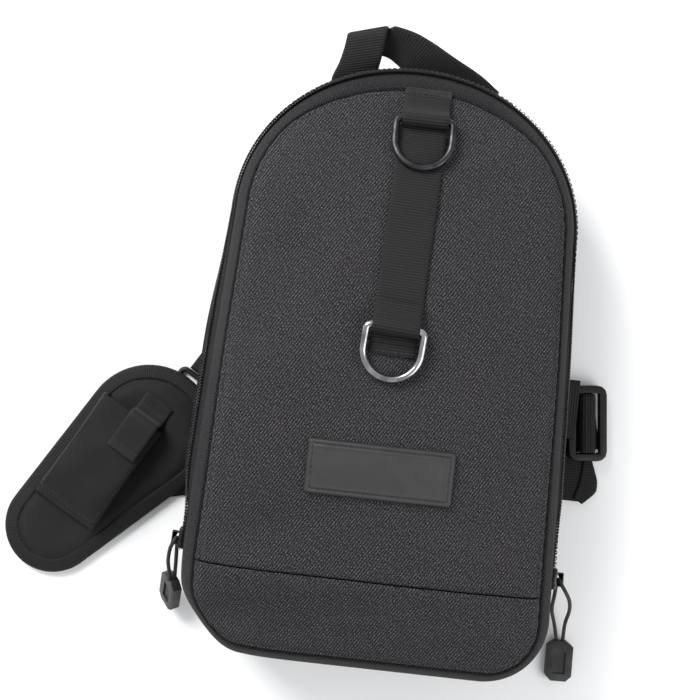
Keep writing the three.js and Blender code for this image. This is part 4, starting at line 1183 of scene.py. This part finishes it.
# %% Webbing at the adjuster
adjuster_turn = math.radians(6.3)
adjuster_z = strap_thickness + 1.3
side_way = np.array([math.cos(adjuster_turn), math.sin(adjuster_turn), 0])
long_way = np.array([-math.sin(adjuster_turn), math.cos(adjuster_turn), 0])
hub = np.array([adjuster_place[0], adjuster_place[1], adjuster_z + 4])
loop = [(-4.2, -0.5), (-4.4, 2.2), (-2.6, 4.3), (0.6, 4.5), (3.6, 4.2), (4.7, 1.6), (4.4, -2.2), (2.4, -4.1),
        (-1.4, -4.3), (-3.6, -3.4)]
wrap_line = spline(loop, 60)
wrap_centres = hub + wrap_line[:, :1] * side_way + wrap_line[:, 1:] * np.array([0, 0, 1.0])
wrap = band("adjuster_wrap", wrap_centres, long_way, strap_width, 1.5, webbing_cloth, 20)
keep(wrap, "bag", "webbing", "strap_wrap")
adjuster_left = adjuster_place[0] - 12.5
adjuster_top = adjuster_z + 8
tab_spots = [(adjuster_left - 15, adjuster_top + 7), (adjuster_left - 8, adjuster_top + 4.6),
             (adjuster_left - 1, adjuster_top + 2.4), (adjuster_left + 4.4, adjuster_top + 1.6)]
tab_line = spline(tab_spots, 24)
tab_centres = np.column_stack([tab_line[:, 0], np.full(25, adjuster_place[1] + 8), tab_line[:, 1]])
tab_keep = tab_centres[:, 0] > half_width(adjuster_place[1] + 8, 0) + 3.4
tab = band("adjuster_tab", tab_centres[tab_keep], (0, 1, 0), strap_width, 1.8, webbing_cloth, 20)
keep(tab, "bag", "webbing", "strap_tab")
adjuster_low = adjuster_place[1] - 24.5
tail_top = adjuster_low + 3.4
tail_low = adjuster_low - 31 + 4
tail_line = np.linspace((tail_top, 3.1), (tail_low, 3.1), 30)
tail_centres = np.column_stack([np.full(30, adjuster_left + 0.5), tail_line])
tail = band("strap_tail_tape", tail_centres, (1, 0, 0), 33, 1.7, webbing_cloth, 18)
keep(tail, "bag", "webbing", "strap_tail")
corner_line = np.linspace((adjuster_left + 17.2, tail_top + 0.6), (adjuster_left + 12, tail_low + 0.4), 24)
corner_share = np.linspace(0, 1, 24)
corner_width = np.interp(corner_share, [0, 0.08, 0.55, 0.7, 1], [3, 5, 11.5, 12.5, 7])
corner_right = corner_line[:, 0] + np.interp(corner_share, [0, 0.08, 0.55, 0.7, 1], [0.2, 1.8, 9.6, 10.7, 4])
corner_centres = np.column_stack([corner_right - corner_width / 2, corner_line[:, 1], np.full(24, 4.6)])
tail_corner = band("strap_tail_fold", corner_centres, (1, 0, 0), corner_width, 1.3, binding_cloth, 14)
keep(tail_corner, "bag", "webbing")

# %% [markdown]
# The shoulder pad is foam in cloth, wide at one end and narrow at the other. A
# closed form is lofted from its outline. Cloth simulation then blows it up a little
# so that the cloth stretches over the foam as a real cover does.

# %% Pad outline
pad_wide_radius = 43
pad_narrow_radius = 31
pad_span = 87.5
pad_thickness = 9


def pad_line(inset, steps=(60, 50)):
    inset = float(inset)
    wide, narrow = pad_wide_radius - inset, pad_narrow_radius - inset
    lean = math.asin((pad_wide_radius - pad_narrow_radius) / pad_span)
    half = math.pi / 2 + lean
    first = np.linspace(-half, half, steps[0])
    second = np.linspace(half, 2 * math.pi - half, steps[1])
    far = pad_wide - pad_direction * pad_span
    ends = [centre + radius * np.column_stack([np.cos(angles + pad_turn), np.sin(angles + pad_turn)])
            for centre, radius, angles in ((pad_wide, wide, first), (far, narrow, second))]
    first_side = np.linspace(ends[0][-1], ends[1][0], 42)[1:-1]
    second_side = np.linspace(ends[1][-1], ends[0][0], 42)[1:-1]
    return np.vstack([ends[0], first_side, ends[1], second_side])


def under_case(x, y):
    inset = inset_at(x, y)
    limit = zip_height * np.interp(inset / rear_round, [0, 0.02, 0.12, 0.32, 0.6, 1],
                                   [0.8, 0.64, 0.36, 0.16, 0.05, 0.03])
    return np.where(inset > 0.02, limit - 1.0, 60)


def tucked(points):
    x, y, z = points[..., 0], points[..., 1], points[..., 2]
    ceiling = np.maximum(under_case(x, y), 0.9)
    floor = 2.6 * over_straps(x, y, 3.0)
    floor = np.where(floor > 0.1, floor, 0)
    z = np.minimum(z, ceiling)
    return np.stack([x, y, np.maximum(z, np.minimum(floor + 0.1, ceiling))], axis=-1)


print("pad is", pad_span + pad_wide_radius + pad_narrow_radius, "mm long")

# %% [markdown]
# The simulation runs on a copy that is remeshed to even cells. Pressure pushes the
# cloth out for twenty steps with gravity off, and no point may move further than
# the cap. The result is applied, so no simulation is left on the piece.

# %% Blow up a closed form
def solid_of_rings(name, rings, material):
    points = np.stack(rings)
    weave = points[..., :2]
    weave = np.concatenate([weave, weave[:, :1]], axis=1)
    return grid_piece(name, points, weave, material, ring=True, ends=True)


def puffed(piece, pressure, voxel, cap):
    scene = bpy.context.scene
    remesh = piece.modifiers.new("even", "REMESH")
    remesh.mode = "VOXEL"
    remesh.voxel_size = voxel * MM
    bpy.context.view_layer.update()
    even = bpy.data.meshes.new_from_object(piece.evaluated_get(bpy.context.evaluated_depsgraph_get()))
    piece.modifiers.clear()
    piece.data = even
    before = np.array([v.co for v in even.vertices])
    cloth = piece.modifiers.new("cloth", "CLOTH")
    cloth.settings.use_pressure = True
    cloth.settings.uniform_pressure_force = pressure
    cloth.settings.effector_weights.gravity = 0
    cloth.settings.quality = 5
    for step in range(1, 21):
        scene.frame_set(step)
    seen = piece.evaluated_get(bpy.context.evaluated_depsgraph_get())
    after = np.array([v.co for v in seen.data.vertices])
    move = after - before
    size = np.linalg.norm(move, axis=1, keepdims=True)
    before = before + move * np.minimum(1, cap * MM / np.maximum(size, 1e-9))
    piece.modifiers.clear()
    scene.frame_set(1)
    print(piece.name, "moved up to", round(float(size.max()) / MM, 1), "mm")
    return before / MM


pad_profile = [(3.0, 0.5), (1.8, 1.0), (1.5, 3.2), (2.2, 5.0), (4.2, 6.6), (8.0, 7.6)]
pad_form = solid_of_rings("shoulder_pad_cloth", [
    np.column_stack([pad_line(inset), np.full(len(pad_line(inset)), z)]) for inset, z in pad_profile],
    pad_cloth)
pad_points = puffed(pad_form, 4.0, 4.0, 3.0)


def pad_inset(points):
    x, y = points[:, 0] - pad_wide[0], points[:, 1] - pad_wide[1]
    a = -(x * pad_direction[0] + y * pad_direction[1])
    b = np.abs(y * pad_direction[0] - x * pad_direction[1])
    slope = (pad_wide_radius - pad_narrow_radius) / pad_span
    t = np.clip((a - b * slope) / pad_span, 0, 1)
    return pad_wide_radius - slope * t * pad_span - np.hypot(a - t * pad_span, b)


depth = pad_inset(pad_points)
stitch_depth = 9.5
upper = ease(3.5, 6, pad_points[:, 2])
pad_points[:, 2] -= 1.3 * np.exp(-((depth - stitch_depth) / 1.8) ** 2) * upper
pad_points[:, 2] += 0.35 * np.sin(pad_points[:, 0] / 7 + pad_points[:, 1] / 11) * upper * ease(9, 16, depth)
pad_points[:, 2] = np.clip(pad_points[:, 2], 0.15, pad_thickness + 0.8)
pad_points = tucked(pad_points)
pad_form.data.vertices.foreach_set("co", (pad_points * MM).ravel())
pad_form.data.materials.clear()
pad_form.data.materials.append(pad_cloth)
pad_form.data.polygons.foreach_set("use_smooth", [True] * len(pad_form.data.polygons))
smoother = pad_form.modifiers.new("smooth", "SUBSURF")
smoother.levels = smoother.render_levels = 1
keep(pad_form, "bag", "pad_cloth", "shoulder_pad")

# %% [markdown]
# The pad's raw edge is closed by a narrow tape folded over it. Its section is a
# flattened U, carried round the outline.

# %% Edge binding of the pad
binding_section = [(9.2, 7.3), (8.6, 7.9), (6.5, 7.7), (4.0, 7.0), (1.6, 6.2), (0.2, 4.6), (0.0, 3.0),
                   (0.3, 1.4), (1.4, 0.35), (4.5, 0.25), (7.5, 0.3)]
binding_rings = []
for inset, z in spline(binding_section, 26):
    flat = pad_line(inset)
    binding_rings.append(tucked(np.column_stack([flat, np.full(len(flat), z)])))
binding_points = np.stack(binding_rings)
pad_steps = np.linalg.norm(np.diff(np.vstack([pad_line(0), pad_line(0)[:1]]), axis=0), axis=1)
pad_reach = np.concatenate([[0], np.cumsum(pad_steps)])
binding_weave = np.stack(np.broadcast_arrays(
    pad_reach[None], np.linspace(0, 22, len(binding_rings))[:, None]), axis=-1)
binding = wall(grid_piece("pad_binding_tape", binding_points, binding_weave, binding_cloth, ring=True, flip=True), 0.5)
keep(binding, "bag", "webbing", "pad_binding")

# %% [markdown]
# A pouch is sewn on the pad: a boxy pocket whose sides fold in like a bellows. It
# is open at its mouth, which a tab of webbing crosses, and sewn shut at the other
# end. Its section is drawn once and changed along its length.

# %% Pouch on the pad
pocket_turn = pad_turn + math.radians(9.7)
pocket_x = pad_wide[0] - 35.5 * pad_direction[0] - 7.8 * pad_direction[1]
pocket_y = pad_wide[1] - 35.5 * pad_direction[1] + 7.8 * pad_direction[0]
pocket_base = pad_thickness + 0.3
pocket_length = 78
pocket_half = 22.5
pocket_height = 14
pocket_forward = np.array([math.cos(pocket_turn), math.sin(pocket_turn), 0])
pocket_side = np.array([-math.sin(pocket_turn), math.cos(pocket_turn), 0])
pocket_origin = np.array([pocket_x, pocket_y, pocket_base])


def pocket_place(along, across, height):
    along, across, height = np.broadcast_arrays(along, across, height)
    return (pocket_origin + along[..., None] * pocket_forward + across[..., None] * pocket_side
            + height[..., None] * np.array([0, 0, 1.0]))


pocket_tall = smooth_table([-0.5, -0.47, -0.4, -0.2, 0.5], [0.22, 0.5, 0.84, 1, 1], 0.03)
pocket_section = spline([(-1.0, 0.0), (-1.0, 0.16), (-0.93, 0.38), (-0.99, 0.6), (-1.0, 0.76), (-0.93, 0.93),
                         (-0.7, 1.0), (0, 1.03), (0.7, 1.0), (0.93, 0.93), (1.0, 0.76), (0.99, 0.6),
                         (0.93, 0.38), (1.0, 0.16), (1.0, 0.0)], 90)
pocket_alongs = np.concatenate([[-0.5, -0.497, -0.49], np.linspace(-0.48, 0.49, 60), [0.497, 0.5]]) * pocket_length
pocket_rings = []
for a in pocket_alongs:
    tall = float(pocket_tall(a / pocket_length)) * pocket_height
    wavy = 0.35 * np.sin(pocket_section[:, 0] * 4 + a / 9) + 0.3 * math.sin(a / 13)
    height = pocket_section[:, 1] * tall + wavy * (pocket_section[:, 1] > 0.85)
    height -= 0.9 * math.exp(-((a + 33.5) / 1.2) ** 2) * (pocket_section[:, 1] > 0.7)
    bow = 1 - 0.04 * math.cos(a / pocket_length * math.pi)
    pocket_rings.append(pocket_place(a, pocket_section[:, 0] * pocket_half * bow, height))
pocket_rings.insert(0, pocket_place(pocket_alongs[0] + 0.2, pocket_section[:, 0] * pocket_half * 0.96,
                                    np.zeros(len(pocket_section))))
pocket_points = np.stack(pocket_rings)
pocket_weave = np.stack(np.broadcast_arrays(
    np.concatenate([[0], pocket_alongs])[:, None], np.linspace(0, 76, len(pocket_section))[None]), axis=-1)
pouch = wall(grid_piece("pouch_cloth", pocket_points, pocket_weave, pocket_cloth, flip=True), 1.3)
keep(pouch, "bag", "pad_cloth", "pad_pocket")

# %% [markdown]
# A tab of webbing is sewn to the pad, climbs the mouth and lies on the pouch. Its
# loose end is turned under in a hem.

# %% Tab over the pouch
mouth = pocket_length / 2
tab_over = pocket_height + 1.3
tab_path = spline([(mouth + 15, 1), (mouth + 7.5, 1.1), (mouth + 4, 3), (mouth + 2.5, tab_over * 0.5),
                   (mouth + 2, tab_over - 1.6), (mouth - 0.4, tab_over + 0.3), (mouth - 6, tab_over + 0.1),
                   (mouth - 20, tab_over), (mouth - 24.5, tab_over - 0.2)], 70)
tab_middle = pocket_place(tab_path[:, 0], -9.0, tab_path[:, 1])
pouch_tab = band("pouch_tab_cloth", tab_middle, pocket_side, 21, 1.7, tab_cloth, 18, 0.2)
keep(pouch_tab, "bag", "webbing", "pocket_flap")
hem_path = np.linspace((mouth - 18.5, tab_over + 1.5), (mouth - 24.6, tab_over + 1.3), 12)
hem_middle = pocket_place(hem_path[:, 0], -9.0, hem_path[:, 1])
keep(band("pouch_tab_hem", hem_middle, pocket_side, 21, 1.1, tab_cloth, 18), "bag", "webbing")

# %% [markdown]
# A moulded loop joins the pad to the strap. It is a closed wire of plastic, round
# in section, lying flat.

# %% Loop at the pad
loop_half = (6.2, 22.2)
loop_spots = []
for sx, sy, quarter in ((1, 1, 0), (-1, 1, 1), (-1, -1, 2), (1, -1, 3)):
    for angle in np.linspace(0, math.pi / 2, 7):
        a = angle + quarter * math.pi / 2
        loop_spots.append((sx * (loop_half[0] - 3) + 3 * math.cos(a), sy * (loop_half[1] - 3) + 3 * math.sin(a)))
loop_flat = np.array(loop_spots)
loop_xy = (loop_flat[:, :1] * upper_direction + loop_flat[:, 1:] * np.array([-upper_direction[1], upper_direction[0]])
           + pad_ring_place)
pad_loop = tube("pad_loop_plastic", np.column_stack([loop_xy, np.full(len(loop_xy), 2.0)]), 1.8, acetal, 14, True)
keep(pad_loop, "bag", "buckle_plastic", "pad_ring")

# %% [markdown]
# Stitches are short bars of thread laid along the seams by the same tree that made
# the teeth. Each line is worked out on the surface that it sews.

# %% Stitches
stitch_size = (2.5, 0.6, 0.5)
stitch_pitch = 3.3


def front_stitch(xs, ys, lift=0.15):
    return over_front(xs, ys, lift)


def seam_stitch(extra, low, high, side):
    ys = np.linspace(low, high, 160)
    xs = side * half_width(ys, seam_inset(ys) + extra)
    return front_stitch(xs, ys, -0.1)


case_lines = []
for side in (-1, 1):
    case_lines.append(seam_stitch(3.6, lower_seam_y + 3, 172, side))
    case_lines.append(seam_stitch(3.6, -160, lower_seam_y - 3, side))
    case_lines.append(lifted(outline, zip_height + 9.5, np.full(rim_count, 1.9))[
        zip_order[:len(zip_order) // 2] if side > 0 else zip_order[len(zip_order) // 2:]])
    for extra_y in (33, 163):
        ys = np.linspace(extra_y, extra_y + 11, 12)
        case_lines.append(front_stitch(webbing_x(ys) + side * 12.6, ys, 2.7))
for y, lift in ((lower_seam_y - 2.6, 1.0), (lower_seam_y - 11, 0.35)):
    xs = np.linspace(-float(half_width(y, 13)), float(half_width(y, 13)), 120)
    case_lines.append(front_stitch(xs, np.full(120, y), lift))
for y in (44, 161, 173.5, 16.2):
    xs = webbing_x(y) + np.linspace(-12.5, 12.5, 20)
    case_lines.append(front_stitch(xs, np.full(20, float(y)), 2.7 if y > 20 else 2.0))
groove = 3.1
for sy in (-1, 1):
    xs = np.linspace(-badge_width / 2 + 5, badge_width / 2 - 5, 60)
    case_lines.append(front_stitch(xs, np.full(60, badge_y + sy * (badge_height / 2 - groove)), 2.3))
for sx in (-1, 1):
    ys = np.linspace(badge_y - badge_height / 2 + 5, badge_y + badge_height / 2 - 5, 30)
    case_lines.append(front_stitch(np.full(30, sx * (badge_width / 2 - groove)), ys, 2.3))
case_stitches = repeat_bars("case_stitches", case_lines, thread, stitch_pitch, stitch_size)
cave_in(case_stitches)
keep(case_stitches, "bag", "bag_cloth")

pad_stitch_flat = pad_line(stitch_depth)
visible = under_case(pad_stitch_flat[:, 0], pad_stitch_flat[:, 1]) > 9
pad_stitch_line = np.column_stack([pad_stitch_flat, np.full(len(pad_stitch_flat), 7.5)])
runs = np.split(pad_stitch_line, np.nonzero(np.diff(visible.astype(int)))[0] + 1)
starts = np.concatenate([[0], np.nonzero(np.diff(visible.astype(int)))[0] + 1])
pad_lines = [run for run, first in zip(runs, starts) if visible[first] and len(run) > 3]
edge_a = np.linspace(-31, 36, 60)
for across in (-20.6, 20.6):
    pad_lines.append(pocket_place(edge_a, across, np.full(60, pocket_height - 0.35)))
end_across = np.linspace(-19, 19, 40)
pad_lines.append(pocket_place(np.full(40, -33.5), end_across, np.full(40, pocket_height * 0.9 - 0.6)))
hem_across = -9 + np.linspace(-9, 9, 16)
for along_hem in (mouth - 19.8, mouth + 10):
    height = tab_over + 2.0 if along_hem < mouth else 2.1
    pad_lines.append(pocket_place(np.full(16, along_hem), hem_across, np.full(16, height)))
pad_stitches = repeat_bars("pad_stitches", pad_lines, thread, 2.8, (2.1, 0.5, 0.45))
keep(pad_stitches, "bag", "pad_cloth")

# %% [markdown]
# A product is shown on a pale table under large soft lamps. One broad lamp from the
# top left models the folds, a weaker one fills the other side, and a pale sky lifts
# the shadows. The table isn't part of the bag.

# %% Table and lamps
table_size = 3.0
table_mesh = bpy.data.meshes.new("table_top")
table_mesh.from_pydata([(-table_size, -table_size, -0.0004), (table_size, -table_size, -0.0004),
                        (table_size, table_size, -0.0004), (-table_size, table_size, -0.0004)], [], [(0, 1, 2, 3)])
table_top = bpy.data.objects.new("table_top", table_mesh)
paint, paint_tree, paint_shader = blank_material("pale_table_paint", **{"Roughness": 0.9})
paint_place = node(paint_tree, "ShaderNodeTexCoord").outputs["Object"]
paint_share = noise(paint_tree, paint_place, 0.4, 2.0)
paint_tree.links.new(blend_colours(paint_tree, paint_share, "#f4f4f4", "#f8f8f8"),
                     paint_shader.inputs["Base Color"])
table_mesh.materials.append(paint)
bpy.context.scene.collection.objects.link(table_top)
table_top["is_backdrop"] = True


def lamp(name, place, aim, size, power):
    data = bpy.data.lights.new(name, "AREA")
    data.shape = "SQUARE"
    data.size = size
    data.energy = power
    made = bpy.data.objects.new(name, data)
    made.location = place
    made.rotation_euler = (Vector(aim) - Vector(place)).to_track_quat("-Z", "Y").to_euler()
    bpy.context.scene.collection.objects.link(made)


lamp("key_lamp", (-0.9, 0.9, 1.1), (0, 0, 0), 0.8, 34)
lamp("fill_lamp", (1.1, -0.5, 1.1), (0, 0, 0), 1.2, 14)
world = bpy.data.worlds.new("studio")
world.use_nodes = True
world.node_tree.nodes["Background"].inputs[0].default_value = linear("#f2f4f6")
world.node_tree.nodes["Background"].inputs[1].default_value = 0.66
bpy.context.scene.world = world
bpy.context.scene.view_settings.view_transform = "Standard"
print("lamps set")

# %% [markdown]
# Last, the sizes of the plain model and of the dressed one are written side by
# side, so that it can be checked that the cloth hasn't grown past the model.

# %% Sizes and finish
dressed_box = [list(corner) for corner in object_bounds()]
for plain_corner, dressed_corner in zip(cad_box, dressed_box):
    print([round((b - a) / MM, 1) for a, b in zip(plain_corner, dressed_corner)])
